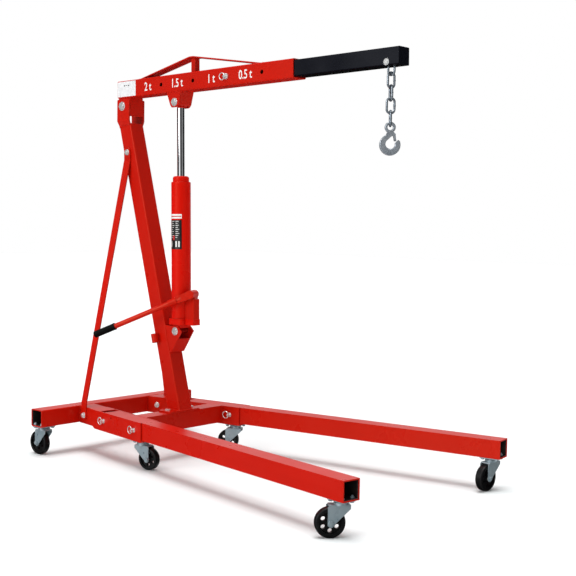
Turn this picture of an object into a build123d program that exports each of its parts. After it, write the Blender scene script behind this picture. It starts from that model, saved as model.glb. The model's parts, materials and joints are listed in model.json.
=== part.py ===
"""Folding engine hoist crane: splayed folding legs on six casters, a leaning mast
with two flat stays, a boom lifted by a long hand-pumped ram, a sliding boom
extension and a chain with a safety hook.

Millimetres, +Z up, +X forward along the boom, +Y to the crane's left.
The origin is on the floor, on the centre plane, under the foot of the mast.
"""
from build123d import *
from math import atan2, cos, degrees, hypot, radians, sin
import os

os.makedirs("parts", exist_ok=True)

# ---------------------------------------------------------------- driving sizes
TUBE = 70.0                 # square tube of the base, the mast and the boom
WALL = 4.0                  # its wall
BASE_BOTTOM = 118.0         # underside of the base tubes above the floor
PLATE = 5.0                 # bracket and clevis plate
GAP = 0.3                   # clearance between parts that move past each other
RUN = 0.05                  # radial running clearance of a pin in its hole

REAR_BEAM_LENGTH = 818.0
REAR_BEAM_X = -400.0        # centre line of the rear beam

SPLAY = 9.0                 # each leg opens outward, degrees
TRACK = 242.0               # leg centre line from the centre plane, beside the mast foot
RAIL_END = -197.0           # along the leg line: front end of the short side rail
BRACKET = (-269.0, 118.0)   # along the leg line: rear and front end of the leg bracket
BRACKET_RAMP = 33.0         # the bracket's rear lower corner is cut back by this
LEG_SIZE = 68.0
LEG_PIVOT = -160.0          # along the leg line
LEG_LOCK = 70.0
LEG_END = 1260.0
LEG_PIN_R = 9.0

MAST_LEAN = 15.3            # degrees, the top is behind the foot
MAST_FOOT_X = 4.0
FOOT_PLATE_T = 6.0
FOOT_BOLT_Y = 63.0
FRAME_BOLT_R = 6.0
MAST_LENGTH = 1195.0

STAY_TOP = (-290.0, 1235.0)     # X, Z of the stays' upper bolt
STAY_BEND = (-291.0, 1200.0)
STAY_S = -323.0                 # lower bolt, along the leg line
STAY_WIDE = 38.0
STAY_T = 5.0

BOOM_PIVOT = (-322.0, 1426.0)   # X, Z
BOOM_TILT = 0.9             # degrees above level
BOOM_BOTTOM = 35.5          # underside of the boom above its pivot
BOOM_REAR = -36.5           # along the boom from its pivot
BOOM_LENGTH = 980.0
BOOM_PIN_R = 9.0
LOAD_HOLE_1 = 234.0         # first load hole along the boom
LOAD_PITCH = 185.0
LOCK_HOLE = 2               # index of the load hole in use
LOCK_PIN_R = 8.0

EXT_SIZE = 60.0
EXT_REAR = 545.0
EXT_FRONT = 1407.0
EXT_RETRACT = 330.0         # how far the extension can slide in from here
HOOK_BOLT = (1356.0, 52.0)  # along and above the boom's pivot line
HOOK_BOLT_R = 6.0

RAM_FOOT = (8.0, 513.0)     # X, Z of the ram's lower bolt
RAM_TOP = (313.0, -5.0)     # along and above the boom's pivot line
RAM_BOLT_R = 8.0
RAM_R = 39.0
ROD_R = 15.0
RAM_BASE = 26.0             # along the ram: underside of the base block
RAM_HEAD = 598.0            # along the ram: top of the cylinder
GLAND_TOP = 621.0
RAM_BLOCK = (89.0, 36.0)    # base block under the pump: reach from the ram axis, width
RAM_COLLAR = (84.0, 80.0)   # base collar around the cylinder
PUMP_OUT = 70.0             # pump axis from the ram axis
HANDLE_YAW = 24.7           # degrees the handle points away from straight back
HANDLE_DROP = 23.1          # degrees the handle points down
HANDLE_LENGTH = 455.0       # from the lever's shaft to the tip of the grip
HANDLE_R = 10.5

LINK_WIRE = 4.0             # radius of the chain's wire
LINK_LONG = 51.0            # link, between the wire centres of its two ends
LINK_WIDE = 26.0            # link, between the wire centres of its sides
LINK_TURNS = (0.0, 70.0, -35.0, 45.0, -47.0)   # each link's plane about the vertical
HOOK_TURN = 42.0
HOOK_EYE_R = 14.0           # middle of the eye's ring
HOOK_EYE_WALL = 10.0
HOOK_BOWL = (1.0, -56.0)    # middle of the bowl, from the middle of the eye
HOOK_BOWL_R = 16.0
HOOK_OUTER_R = 36.0
LATCH_PIN = (14.0, -24.0)

WHEEL_R = 48.0              # front and rear casters
MIDDLE_WHEEL_R = 43.0
REAR_CASTER_IN = 37.0       # swivel axes, from the rear beam's ends
MIDDLE_CASTER_IN = 45.0     # from the leg brackets' front ends
FRONT_CASTER_IN = 45.0      # from the legs' front ends

# ---------------------------------------------------------------- derived sizes
BASE_MID = BASE_BOTTOM + TUBE / 2
BASE_TOP = BASE_BOTTOM + TUBE
LEG_MID = BASE_BOTTOM + 1.5 + LEG_SIZE / 2
LEG_BOTTOM = LEG_MID - LEG_SIZE / 2
BRACKET_BOTTOM = BASE_BOTTOM - 6.0
BRACKET_OUT = TUBE / 2 + PLATE
BOOM_MID = BOOM_BOTTOM + TUBE / 2
BOOM_TOP = BOOM_BOTTOM + TUBE
BOOM_FRONT = BOOM_REAR + BOOM_LENGTH
LOCK_U = LOAD_HOLE_1 + LOCK_HOLE * LOAD_PITCH
SIDES = ((-1, "right"), (1, "left"))


def upright(x, z, lean):
    """Plane seen from the crane's right: local x forward, local y up, leaning back."""
    a = radians(lean)
    return Plane(origin=(x, 0, z), x_dir=(cos(a), 0, sin(a)), z_dir=(0, -1, 0))


def leg_side(side, z=LEG_MID):
    """Plane along a leg's centre line: local x along the leg, local y up."""
    a = radians(SPLAY)
    return Plane(origin=(0, side * TRACK, z), x_dir=(cos(a), side * sin(a), 0),
                 z_dir=(side * sin(a), -cos(a), 0))


def leg_plan(side, z):
    """Level plane along a leg's centre line: local x along the leg."""
    a = radians(SPLAY)
    return Plane(origin=(0, side * TRACK, z), x_dir=(cos(a), side * sin(a), 0), z_dir=(0, 0, 1))


def in_world(plane, x, y, z=0.0):
    """World position of a point given in a plane's own directions."""
    return plane.from_local_coords(Vector(x, y, z))


BOOM_PLANE = upright(*BOOM_PIVOT, BOOM_TILT)
RAM_TOP_POINT = in_world(BOOM_PLANE, *RAM_TOP)
RAM_LENGTH = hypot(RAM_TOP_POINT.X - RAM_FOOT[0], RAM_TOP_POINT.Z - RAM_FOOT[1])
RAM_LEAN = degrees(atan2(RAM_FOOT[0] - RAM_TOP_POINT.X, RAM_TOP_POINT.Z - RAM_FOOT[1]))
RAM_PLANE = upright(*RAM_FOOT, RAM_LEAN)
MAST_PLANE = upright(MAST_FOOT_X, BASE_TOP + FOOT_PLATE_T, MAST_LEAN)


def save(part, name):
    """Label a finished piece and write it."""
    part.label = name
    export_step(part, f"parts/{name}.step")


def across_bolt(plane, x, y, radius, inner, head=1.75, head_t=7.0, nut_t=8.0):
    """A bolt across the crane: hex head on the right, nut on the left."""
    with BuildPart() as bolt:
        with BuildSketch(plane.offset(-inner - nut_t)):
            with Locations((x, y)):
                Circle(radius)
        extrude(amount=2 * inner + nut_t + head_t)
        with BuildSketch(plane.offset(inner)):
            with Locations((x, y)):
                RegularPolygon(radius * head, 6)
        extrude(amount=head_t)
        chamfer(bolt.faces().sort_by(Axis.Y)[0].edges(), 1.0)
        with BuildSketch(plane.offset(-inner)):
            with Locations((x, y)):
                RegularPolygon(radius * head, 6)
        extrude(amount=-(nut_t - 2.5))
    return bolt


# ---------------------------------------------------------------- base frame
def make_rear_beam(bolt_holes):
    with BuildPart() as rear_beam:
        with BuildSketch(Plane.XZ.offset(-REAR_BEAM_LENGTH / 2)):
            with Locations((REAR_BEAM_X, BASE_MID)):
                RectangleRounded(TUBE, TUBE, 6)
                RectangleRounded(TUBE - 2 * WALL, TUBE - 2 * WALL, 3, mode=Mode.SUBTRACT)
        extrude(amount=REAR_BEAM_LENGTH)
        add(bolt_holes, mode=Mode.SUBTRACT)
    save(rear_beam.part, "rear_beam")


def make_cross_member():
    half = TUBE / 2
    slope = sin(radians(SPLAY)) / cos(radians(SPLAY))
    reach = TRACK - BRACKET_OUT / cos(radians(SPLAY))
    with BuildPart() as cross_member:
        with BuildSketch(Plane.XY.offset(BASE_BOTTOM)):
            Polygon((-half, reach - half * slope), (half, reach + half * slope),
                    (half, -reach - half * slope), (-half, -reach + half * slope), align=None)
        extrude(amount=TUBE)
        with BuildSketch(Plane.XZ.offset(-TRACK)):
            with Locations((0, BASE_MID)):
                RectangleRounded(TUBE - 2 * WALL, TUBE - 2 * WALL, 3)
        extrude(amount=2 * TRACK, mode=Mode.SUBTRACT)
        with BuildSketch(Plane.XY.offset(BASE_TOP - WALL)):
            with Locations((0, FOOT_BOLT_Y), (0, -FOOT_BOLT_Y)):
                Circle(FRAME_BOLT_R)
        extrude(amount=WALL, mode=Mode.SUBTRACT)
    save(cross_member.part, "cross_member")


def make_side_rail(side, word):
    rear = REAR_BEAM_X + TUBE / 2
    with BuildPart() as rail:
        with BuildSketch(leg_side(side, BASE_MID).offset(-TUBE / 2)):
            with Locations(((RAIL_END - 450) / 2, 0)):
                Rectangle(RAIL_END + 450, TUBE)
        extrude(amount=TUBE)
        with BuildSketch(leg_side(side, BASE_MID).offset(-TUBE / 2 + WALL)):
            with Locations((-300, 0)):
                Rectangle(600, TUBE - 2 * WALL)
        extrude(amount=TUBE - 2 * WALL, mode=Mode.SUBTRACT)
        with BuildSketch(leg_side(side, BASE_MID).offset(-TUBE)):
            with Locations((STAY_S, 0)):
                Circle(FRAME_BOLT_R)
        extrude(amount=2 * TUBE, mode=Mode.SUBTRACT)
        split(bisect_by=Plane.YZ.offset(rear), keep=Keep.TOP)
    save(rail.part, f"side_rail_{word}")


def make_leg_bracket(side, word, bolt_holes):
    rear, front = BRACKET
    top = BASE_TOP - LEG_MID
    low = BRACKET_BOTTOM - LEG_MID
    floor_top = BASE_BOTTOM - LEG_MID
    with BuildPart() as bracket:
        with BuildSketch(leg_side(side).offset(-BRACKET_OUT)):
            Polygon((rear, top), (front, top), (front, low), (rear + BRACKET_RAMP, low),
                    (rear, low + 18), align=None)
        extrude(amount=2 * BRACKET_OUT)
        with BuildSketch(leg_side(side).offset(-TUBE / 2)):
            Polygon((rear - 1, top + 1), (front + 1, top + 1), (front + 1, floor_top),
                    (rear - 1, floor_top), align=None)
        extrude(amount=TUBE, mode=Mode.SUBTRACT)
        with BuildSketch(leg_side(side).offset(-BRACKET_OUT - 1)):
            with Locations((LEG_PIVOT, 0), (LEG_LOCK, 0)):
                Circle(LEG_PIN_R)
        extrude(amount=2 * BRACKET_OUT + 2, mode=Mode.SUBTRACT)
        with BuildSketch(leg_side(side).offset(-BRACKET_OUT - 1)):
            with Locations((-105, 19), (26, 0)):
                Circle(3.5)
        extrude(amount=2 * BRACKET_OUT + 2, mode=Mode.SUBTRACT)
        edges = bracket.edges().filter_by(Axis.Z).filter_by(lambda e: e.length > 60)
        fillet(edges, 1.5)
        add(bolt_holes, mode=Mode.SUBTRACT)
    save(bracket.part, f"leg_bracket_{word}")


def make_leg(side, word, bolt_holes):
    """Square tube with a round rear end, and a slot that clears the lock pin."""
    half = LEG_SIZE / 2
    inner = LEG_SIZE - 2 * WALL
    with BuildPart() as leg:
        with BuildSketch(leg_side(side).offset(-half)):
            with Locations(((LEG_PIVOT + LEG_END) / 2, 0)):
                Rectangle(LEG_END - LEG_PIVOT, LEG_SIZE)
            with Locations((LEG_PIVOT, 0)):
                Circle(half)
        extrude(amount=LEG_SIZE)
        with BuildSketch(leg_side(side).offset(-inner / 2)):
            with Locations(((LEG_PIVOT + LEG_END) / 2 + 1, 0)):
                Rectangle(LEG_END - LEG_PIVOT + 2, inner)
            with Locations((LEG_PIVOT, 0)):
                Circle(inner / 2)
        extrude(amount=inner, mode=Mode.SUBTRACT)
        with BuildSketch(leg_side(side).offset(-half - 1)):
            with Locations((LEG_PIVOT, 0)):
                Circle(LEG_PIN_R + RUN)
            with Locations((LEG_LOCK, 0)):
                Circle(LEG_PIN_R + 0.6)
            with Locations((LEG_LOCK - 1.5, -half / 2 - 1)):
                Rectangle(2 * LEG_PIN_R + 6, half + 2)
        extrude(amount=LEG_SIZE + 2, mode=Mode.SUBTRACT)
        add(bolt_holes, mode=Mode.SUBTRACT)
    save(leg.part, f"leg_{word}")


def make_leg_pins():
    """Four pins, each with a pull ring through its thin end on the right-hand side."""
    ring_r = 14.0
    neck = 5.0
    tip = BRACKET_OUT + 16.0
    with BuildPart() as pins:
        for side, _ in SIDES:
            for x in (LEG_PIVOT, LEG_LOCK):
                with BuildSketch(leg_side(side).offset(-BRACKET_OUT)):
                    with Locations((x, 0)):
                        Circle(LEG_PIN_R)
                extrude(amount=2 * BRACKET_OUT + 3)
                with BuildSketch(leg_side(side).offset(-BRACKET_OUT - 5)):
                    with Locations((x, 0)):
                        Circle(LEG_PIN_R + 4)
                extrude(amount=5)
                with BuildSketch(leg_side(side).offset(BRACKET_OUT + 3)):
                    with Locations((x, 0)):
                        Circle(neck)
                extrude(amount=13)
                bore = Plane(origin=in_world(leg_side(side), x, -neck - 1, tip - 6), z_dir=(0, 0, 1))
                with BuildSketch(bore):
                    Circle(2.8)
                extrude(amount=2 * neck + 2, mode=Mode.SUBTRACT)
        for side, _ in SIDES:
            for x in (LEG_PIVOT, LEG_LOCK):
                middle = in_world(leg_side(side), x - ring_r, 0, tip - 6)
                turned = Plane(origin=middle, x_dir=leg_side(side).x_dir, z_dir=(0, 0, 1))
                with BuildSketch(turned):
                    with Locations((ring_r, 0)):
                        Circle(1.6)
                revolve(axis=Axis(middle, leg_side(side).z_dir))
    save(pins.part, "leg_pins")


# ---------------------------------------------------------------- mast
def make_mast():
    with BuildPart() as foot:
        with BuildSketch(Plane.XY.offset(BASE_TOP)):
            RectangleRounded(TUBE + 4, 2 * FOOT_BOLT_Y + 34, 5)
        extrude(amount=FOOT_PLATE_T)
        plate_top = BASE_TOP + FOOT_PLATE_T
        with Locations((0, FOOT_BOLT_Y, plate_top), (0, -FOOT_BOLT_Y, plate_top)):
            Hole(FRAME_BOLT_R)
    save(foot.part, "mast_foot")

    with BuildPart() as mast:
        with BuildSketch(MAST_PLANE.offset(-TUBE / 2)):
            with Locations((0, MAST_LENGTH / 2 - 20)):
                Rectangle(TUBE, MAST_LENGTH + 40)
        extrude(amount=TUBE)
        fillet(mast.edges().filter_by(lambda e: e.length > MAST_LENGTH), 5)
        with BuildSketch(MAST_PLANE.offset(-TUBE / 2 + WALL)):
            with Locations((0, MAST_LENGTH / 2 - 20)):
                Rectangle(TUBE - 2 * WALL, MAST_LENGTH + 60)
        extrude(amount=TUBE - 2 * WALL, mode=Mode.SUBTRACT)
        split(bisect_by=Plane.XY.offset(BASE_TOP + FOOT_PLATE_T), keep=Keep.TOP)
        with BuildSketch(Plane.XZ.offset(-TUBE)):
            with Locations(STAY_TOP):
                Circle(FRAME_BOLT_R)
        extrude(amount=2 * TUBE, mode=Mode.SUBTRACT)
    save(mast.part, "mast_post")


def make_mast_head():
    """Two joggled cheek plates that stand on the mast's top and hold the boom's lug."""
    top = BOOM_PIVOT[1] + 28.0
    knee = 1366.0
    foot = 1330.0
    inner = TUBE / 2 + 1.0
    with BuildPart() as head:
        with BuildSketch(Plane.YZ.offset(BOOM_PIVOT[0] - 31)):
            for s in (-1, 1):
                Polygon((s * inner, top), (s * (inner + 6), top), (s * (inner + 6), knee),
                        (s * TUBE / 2, knee - 20), (s * TUBE / 2, foot), (s * (TUBE / 2 - 6), foot),
                        (s * (TUBE / 2 - 6), knee - 19), (s * inner, knee + 1), align=None)
        extrude(amount=75)
        with BuildSketch(MAST_PLANE.offset(-TUBE / 2 - 1)):
            with Locations((0, MAST_LENGTH / 2)):
                Rectangle(3 * TUBE, MAST_LENGTH)
        extrude(amount=TUBE + 2, mode=Mode.SUBTRACT)
        with BuildSketch(Plane.XZ.offset(-TUBE)):
            with Locations(BOOM_PIVOT):
                Circle(BOOM_PIN_R)
            Polygon((BOOM_PIVOT[0] - 32, knee), (BOOM_PIVOT[0] - 32, foot - 1),
                    (BOOM_PIVOT[0] - 20, foot - 1), align=None)
        extrude(amount=2 * TUBE, mode=Mode.SUBTRACT)
        fillet(head.edges().filter_by(Axis.Y).group_by(Axis.Z)[-1], 6)
    save(head.part, "mast_head")


def make_stay(side, word):
    """Flat bar, bolted flat to the mast and flat to the side rail's outer face."""
    low_z = 205.0
    out = side * (TUBE / 2 + STAY_T / 2)
    low = in_world(leg_plan(side, low_z), STAY_S, out)
    level_top = Plane(origin=(STAY_BEND[0], out, STAY_BEND[1]), z_dir=(0, 0, 1))
    level_low = Plane(origin=low, x_dir=leg_plan(side, 0).x_dir, z_dir=(0, 0, 1))
    with BuildPart() as stay:
        with BuildSketch(level_low):
            Rectangle(STAY_WIDE, STAY_T)
        with BuildSketch(level_top):
            Rectangle(STAY_WIDE, STAY_T)
        loft()
        with BuildSketch(Plane.XZ.offset(-out - STAY_T / 2)):
            with Locations((STAY_TOP[0], (STAY_TOP[1] + STAY_BEND[1]) / 2)):
                Rectangle(STAY_WIDE, STAY_TOP[1] - STAY_BEND[1])
            with Locations(STAY_TOP):
                Circle(STAY_WIDE / 2)
        extrude(amount=STAY_T)
        with BuildSketch(leg_side(side, BASE_MID).offset(-out - STAY_T / 2)):
            with Locations((STAY_S, (low_z - BASE_MID) / 2)):
                Rectangle(STAY_WIDE, low_z - BASE_MID)
            with Locations((STAY_S, 0)):
                Circle(STAY_WIDE / 2)
        extrude(amount=STAY_T)
        with BuildSketch(Plane.XZ.offset(-out - STAY_T)):
            with Locations(STAY_TOP):
                Circle(FRAME_BOLT_R)
        extrude(amount=2 * STAY_T, mode=Mode.SUBTRACT)
        with BuildSketch(leg_side(side, BASE_MID).offset(-out - STAY_T)):
            with Locations((STAY_S, 0)):
                Circle(FRAME_BOLT_R)
        extrude(amount=2 * STAY_T, mode=Mode.SUBTRACT)
    save(stay.part, f"stay_{word}")


def make_ram_clevis():
    """Pocket on the mast's front face that takes the foot of the ram, open at the top front."""
    x, z = RAM_FOOT
    back = x - 100
    top = z + 20
    shoulder = (x + 16, top)
    tip = (x + 37, z)
    lip = (x + 17, z - 30)
    heel = (x - 21, z - 87)
    with BuildPart() as clevis:
        with BuildSketch(Plane.XZ.offset(-TUBE / 2)):
            Polygon((back, top), shoulder, tip, heel, (back, heel[1]), align=None)
        extrude(amount=TUBE)
        with BuildSketch(Plane.XZ.offset(-TUBE / 2 + PLATE)):
            Polygon((back, top + 1), (tip[0] + 1, top + 1), (tip[0] + 1, lip[1]),
                    (lip[0] - PLATE - 1, lip[1]), (heel[0] - PLATE - 1, heel[1] - 1),
                    (back, heel[1] - 1), align=None)
        extrude(amount=TUBE - 2 * PLATE, mode=Mode.SUBTRACT)
        with BuildSketch(MAST_PLANE.offset(-TUBE)):
            with Locations((-TUBE / 2, MAST_LENGTH / 2)):
                Rectangle(2 * TUBE, MAST_LENGTH)
        extrude(amount=2 * TUBE, mode=Mode.SUBTRACT)
        with BuildSketch(Plane.XZ.offset(-TUBE)):
            with Locations(RAM_FOOT):
                Circle(RAM_BOLT_R)
        extrude(amount=2 * TUBE, mode=Mode.SUBTRACT)
    save(clevis.part, "ram_clevis")


def make_handle_holder():
    """Short sleeve on the mast's right face; the pump handle is kept in it."""
    along = 282.0
    with BuildPart() as holder:
        base = in_world(MAST_PLANE, -22, along, TUBE / 2 + 14)
        up = MAST_PLANE.y_dir
        with BuildSketch(Plane(origin=base, x_dir=(0, 1, 0), z_dir=up)):
            Circle(14)
            Circle(11.5, mode=Mode.SUBTRACT)
        extrude(amount=36)
    save(holder.part, "handle_holder")


def make_frame_bolts():
    """Bolts of the stays, the mast's foot, the boom's pivot and the ram's foot."""
    pivot = across_bolt(Plane.XZ, *BOOM_PIVOT, BOOM_PIN_R, TUBE / 2 + 7)
    ram = across_bolt(Plane.XZ, *RAM_FOOT, RAM_BOLT_R, TUBE / 2)
    stay = across_bolt(Plane.XZ, *STAY_TOP, 6, TUBE / 2 + STAY_T)
    with BuildPart() as bolts:
        add(pivot.part)
        add(ram.part)
        add(stay.part)
        for side, _ in SIDES:
            plane = leg_side(side, BASE_MID)
            inner = TUBE / 2
            outer = TUBE / 2 + STAY_T
            low, high = (inner, outer) if side < 0 else (outer, inner)
            with BuildSketch(plane.offset(-low - 9)):
                with Locations((STAY_S, 0)):
                    Circle(FRAME_BOLT_R)
            extrude(amount=low + high + 18)
            with BuildSketch(plane.offset(high)):
                with Locations((STAY_S, 0)):
                    RegularPolygon(10.5, 6)
            extrude(amount=6)
            with BuildSketch(plane.offset(-low)):
                with Locations((STAY_S, 0)):
                    RegularPolygon(10.5, 6)
            extrude(amount=-6)
        for y in (-FOOT_BOLT_Y, FOOT_BOLT_Y):
            with BuildSketch(Plane.XY.offset(BASE_TOP - WALL - 12)):
                with Locations((0, y)):
                    Circle(FRAME_BOLT_R)
            extrude(amount=WALL + 12 + FOOT_PLATE_T)
            with BuildSketch(Plane.XY.offset(BASE_TOP + FOOT_PLATE_T)):
                with Locations((0, y)):
                    RegularPolygon(10.5, 6)
            extrude(amount=6)
            with BuildSketch(Plane.XY.offset(BASE_TOP - WALL)):
                with Locations((0, y)):
                    RegularPolygon(10.5, 6)
            extrude(amount=-7)
    save(bolts.part, "frame_bolts")


# ---------------------------------------------------------------- casters
CASTER_PLATE = (74.0, 58.0, 4.0)
CASTER_BOLTS = (54.0, 40.0)
CASTER_BOLT_R = 4.0


class Caster:
    """Where one caster stands: its swivel, its plate's direction and its heading."""

    def __init__(self, name, foot, top, plate_turn, heading, wheel_r, trail):
        self.name = name
        self.x = foot.X
        self.y = foot.Y
        self.top = top
        self.plate_turn = plate_turn
        self.heading = heading
        self.wheel_r = wheel_r
        self.trail = trail
        self.wheel_w = 28.0


def caster_list():
    rear_y = REAR_BEAM_LENGTH / 2 - REAR_CASTER_IN
    front = LEG_END - FRONT_CASTER_IN
    middle = BRACKET[1] - MIDDLE_CASTER_IN
    headings = {("rear", "right"): 184, ("rear", "left"): 150, ("middle", "right"): 12,
                ("middle", "left"): -148, ("front", "right"): -130, ("front", "left"): -93}
    found = []
    for side, word in SIDES:
        places = (("rear", Vector(REAR_BEAM_X, side * rear_y), BASE_BOTTOM, 90, WHEEL_R, 25),
                  ("middle", in_world(leg_plan(side, 0), middle, 0), BRACKET_BOTTOM,
                   side * SPLAY, MIDDLE_WHEEL_R, 30),
                  ("front", in_world(leg_plan(side, 0), front, 0), LEG_BOTTOM,
                   side * SPLAY, WHEEL_R, 35))
        for place, foot, top, turn, wheel_r, trail in places:
            heading = headings[(place, word)]
            found.append(Caster(f"{place}_{word}", foot, top, turn, heading, wheel_r, trail))
    return found


def plate_plane(caster, z):
    a = radians(caster.plate_turn)
    return Plane(origin=(caster.x, caster.y, z), x_dir=(cos(a), sin(a), 0), z_dir=(0, 0, 1))


def make_caster_plates(casters, name):
    """Mounting plates, each with the upper race of its swivel."""
    with BuildPart() as plates:
        for caster in casters:
            with BuildSketch(plate_plane(caster, caster.top - CASTER_PLATE[2])):
                RectangleRounded(CASTER_PLATE[0], CASTER_PLATE[1], 6)
                with GridLocations(*CASTER_BOLTS, 2, 2):
                    Circle(CASTER_BOLT_R, mode=Mode.SUBTRACT)
            extrude(amount=CASTER_PLATE[2])
            with BuildSketch(plate_plane(caster, caster.top - CASTER_PLATE[2])):
                Circle(21)
            extrude(amount=-5, taper=18)
    save(plates.part, name)


def caster_bolt_holes(casters):
    """The holes that the casters' bolts need in the tube or bracket above."""
    with BuildPart() as holes:
        for caster in casters:
            with BuildSketch(plate_plane(caster, caster.top)):
                with GridLocations(*CASTER_BOLTS, 2, 2):
                    Circle(CASTER_BOLT_R)
            extrude(amount=BASE_BOTTOM - BRACKET_BOTTOM)
    return holes.part


def make_caster_bolts(casters, name):
    """Four bolts per plate: heads below and nuts inside a tube, or flush in a bracket."""
    with BuildPart() as bolts:
        for caster in casters:
            if caster.name.startswith("middle"):
                with BuildSketch(plate_plane(caster, caster.top - CASTER_PLATE[2] - 8)):
                    with GridLocations(*CASTER_BOLTS, 2, 2):
                        Circle(CASTER_BOLT_R)
                extrude(amount=8 + CASTER_PLATE[2] + BASE_BOTTOM - BRACKET_BOTTOM)
                with BuildSketch(plate_plane(caster, caster.top - CASTER_PLATE[2] - 6)):
                    with GridLocations(*CASTER_BOLTS, 2, 2):
                        RegularPolygon(7, 6)
                extrude(amount=6)
                continue
            low = plate_plane(caster, caster.top - CASTER_PLATE[2])
            inside = plate_plane(caster, caster.top + WALL)
            with BuildSketch(low.offset(-5)):
                with GridLocations(*CASTER_BOLTS, 2, 2):
                    RegularPolygon(7, 6)
            extrude(amount=5)
            with BuildSketch(low):
                with GridLocations(*CASTER_BOLTS, 2, 2):
                    Circle(CASTER_BOLT_R)
            extrude(amount=CASTER_PLATE[2] + WALL + 10)
            with BuildSketch(inside):
                with GridLocations(*CASTER_BOLTS, 2, 2):
                    RegularPolygon(7, 6)
            extrude(amount=6)
    save(bolts.part, name)


def make_caster_fork(caster):
    """Swivelling fork: lower race, crown, two tapered arms and the axle."""
    trail, axle_z = caster.trail, caster.wheel_r
    race_top = caster.top - CASTER_PLATE[2] - 5 - GAP
    crown_z = caster.wheel_r * 2 + 5
    arm_in = caster.wheel_w / 2 + 2
    arm_t = 3.0
    a = radians(caster.heading)
    side = Plane(origin=(caster.x, caster.y, 0), x_dir=(cos(a), sin(a), 0), z_dir=(sin(a), -cos(a), 0))
    level = Plane(origin=(caster.x, caster.y, 0), x_dir=(cos(a), sin(a), 0), z_dir=(0, 0, 1))
    with BuildPart() as fork:
        with BuildSketch(level.offset(crown_z)):
            Circle(24)
        extrude(amount=race_top - crown_z, taper=4)
        with BuildSketch(side.offset(-arm_in - arm_t)):
            with BuildLine():
                crown = Polyline((trail + 3, crown_z + 3), (-27, crown_z + 3), (-27, crown_z - 9))
                back = Line(crown @ 1, (trail - 11, axle_z - 5))
                nose = ThreePointArc(back @ 1, (trail, axle_z - 13), (trail + 9, axle_z - 5))
                front = Line(nose @ 1, (trail + 9, crown_z - 3))
                Line(front @ 1, crown @ 0)
            make_face()
        extrude(amount=2 * (arm_in + arm_t))
        with BuildSketch(side.offset(-arm_in)):
            with Locations((0, crown_z / 2)):
                Rectangle(6 * caster.wheel_r, crown_z)
        extrude(amount=2 * arm_in, mode=Mode.SUBTRACT)
        with BuildSketch(side.offset(-arm_in - arm_t - 1)):
            with Locations((trail, axle_z)):
                Circle(5)
        extrude(amount=2 * (arm_in + arm_t + 1), mode=Mode.SUBTRACT)
    with BuildPart() as axle:
        with BuildSketch(side.offset(-arm_in - arm_t - 6)):
            with Locations((trail, axle_z)):
                Circle(5)
        extrude(amount=2 * (arm_in + arm_t + 6))
        for out in (arm_in + arm_t, -arm_in - arm_t - 5):
            with BuildSketch(side.offset(out)):
                with Locations((trail, axle_z)):
                    RegularPolygon(8.5, 6)
            extrude(amount=5)
    both = Compound(children=[fork.part.solid(), axle.part.solid()])
    save(both, f"caster_fork_{caster.name}")


def make_caster_wheel(caster):
    """Moulded wheel: rounded tread, recessed web with six holes, and a hub."""
    a = radians(caster.heading)
    side = Plane(origin=(caster.x, caster.y, 0), x_dir=(cos(a), sin(a), 0), z_dir=(sin(a), -cos(a), 0))
    centre = side.from_local_coords(Vector(caster.trail, caster.wheel_r, 0))
    half = caster.wheel_w / 2
    face = Plane(origin=centre, x_dir=side.x_dir, z_dir=side.z_dir)
    with BuildPart() as wheel:
        with BuildSketch(face.offset(-half)):
            Circle(caster.wheel_r)
        extrude(amount=caster.wheel_w)
        fillet(wheel.edges(), 6)
        for s in (-1, 1):
            with BuildSketch(face.offset(s * half)):
                Circle(caster.wheel_r * 0.74)
                Circle(11, mode=Mode.SUBTRACT)
            extrude(amount=-s * 8, mode=Mode.SUBTRACT)
        with BuildSketch(face.offset(-half)):
            with PolarLocations(caster.wheel_r * 0.52, 6, start_angle=30):
                Circle(caster.wheel_r * 0.15)
            Circle(5 + RUN)
        extrude(amount=caster.wheel_w, mode=Mode.SUBTRACT)
    save(wheel.part, f"caster_wheel_{caster.name}")


# ---------------------------------------------------------------- ram and pump
def pump_frame():
    """Directions of the pump: its axis point, the handle's heading and its shaft."""
    yaw = radians(HANDLE_YAW)
    top = in_world(RAM_PLANE, PUMP_OUT, 150)
    back = Vector(-cos(yaw), -sin(yaw), 0)
    shaft = Vector(sin(yaw), -cos(yaw), 0)
    return top, back, shaft


def ram_ring(v):
    """Plane across the ram at a distance along it."""
    centre = in_world(RAM_PLANE, 0, v)
    return Plane(origin=centre, x_dir=RAM_PLANE.x_dir, z_dir=RAM_PLANE.y_dir)


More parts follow.
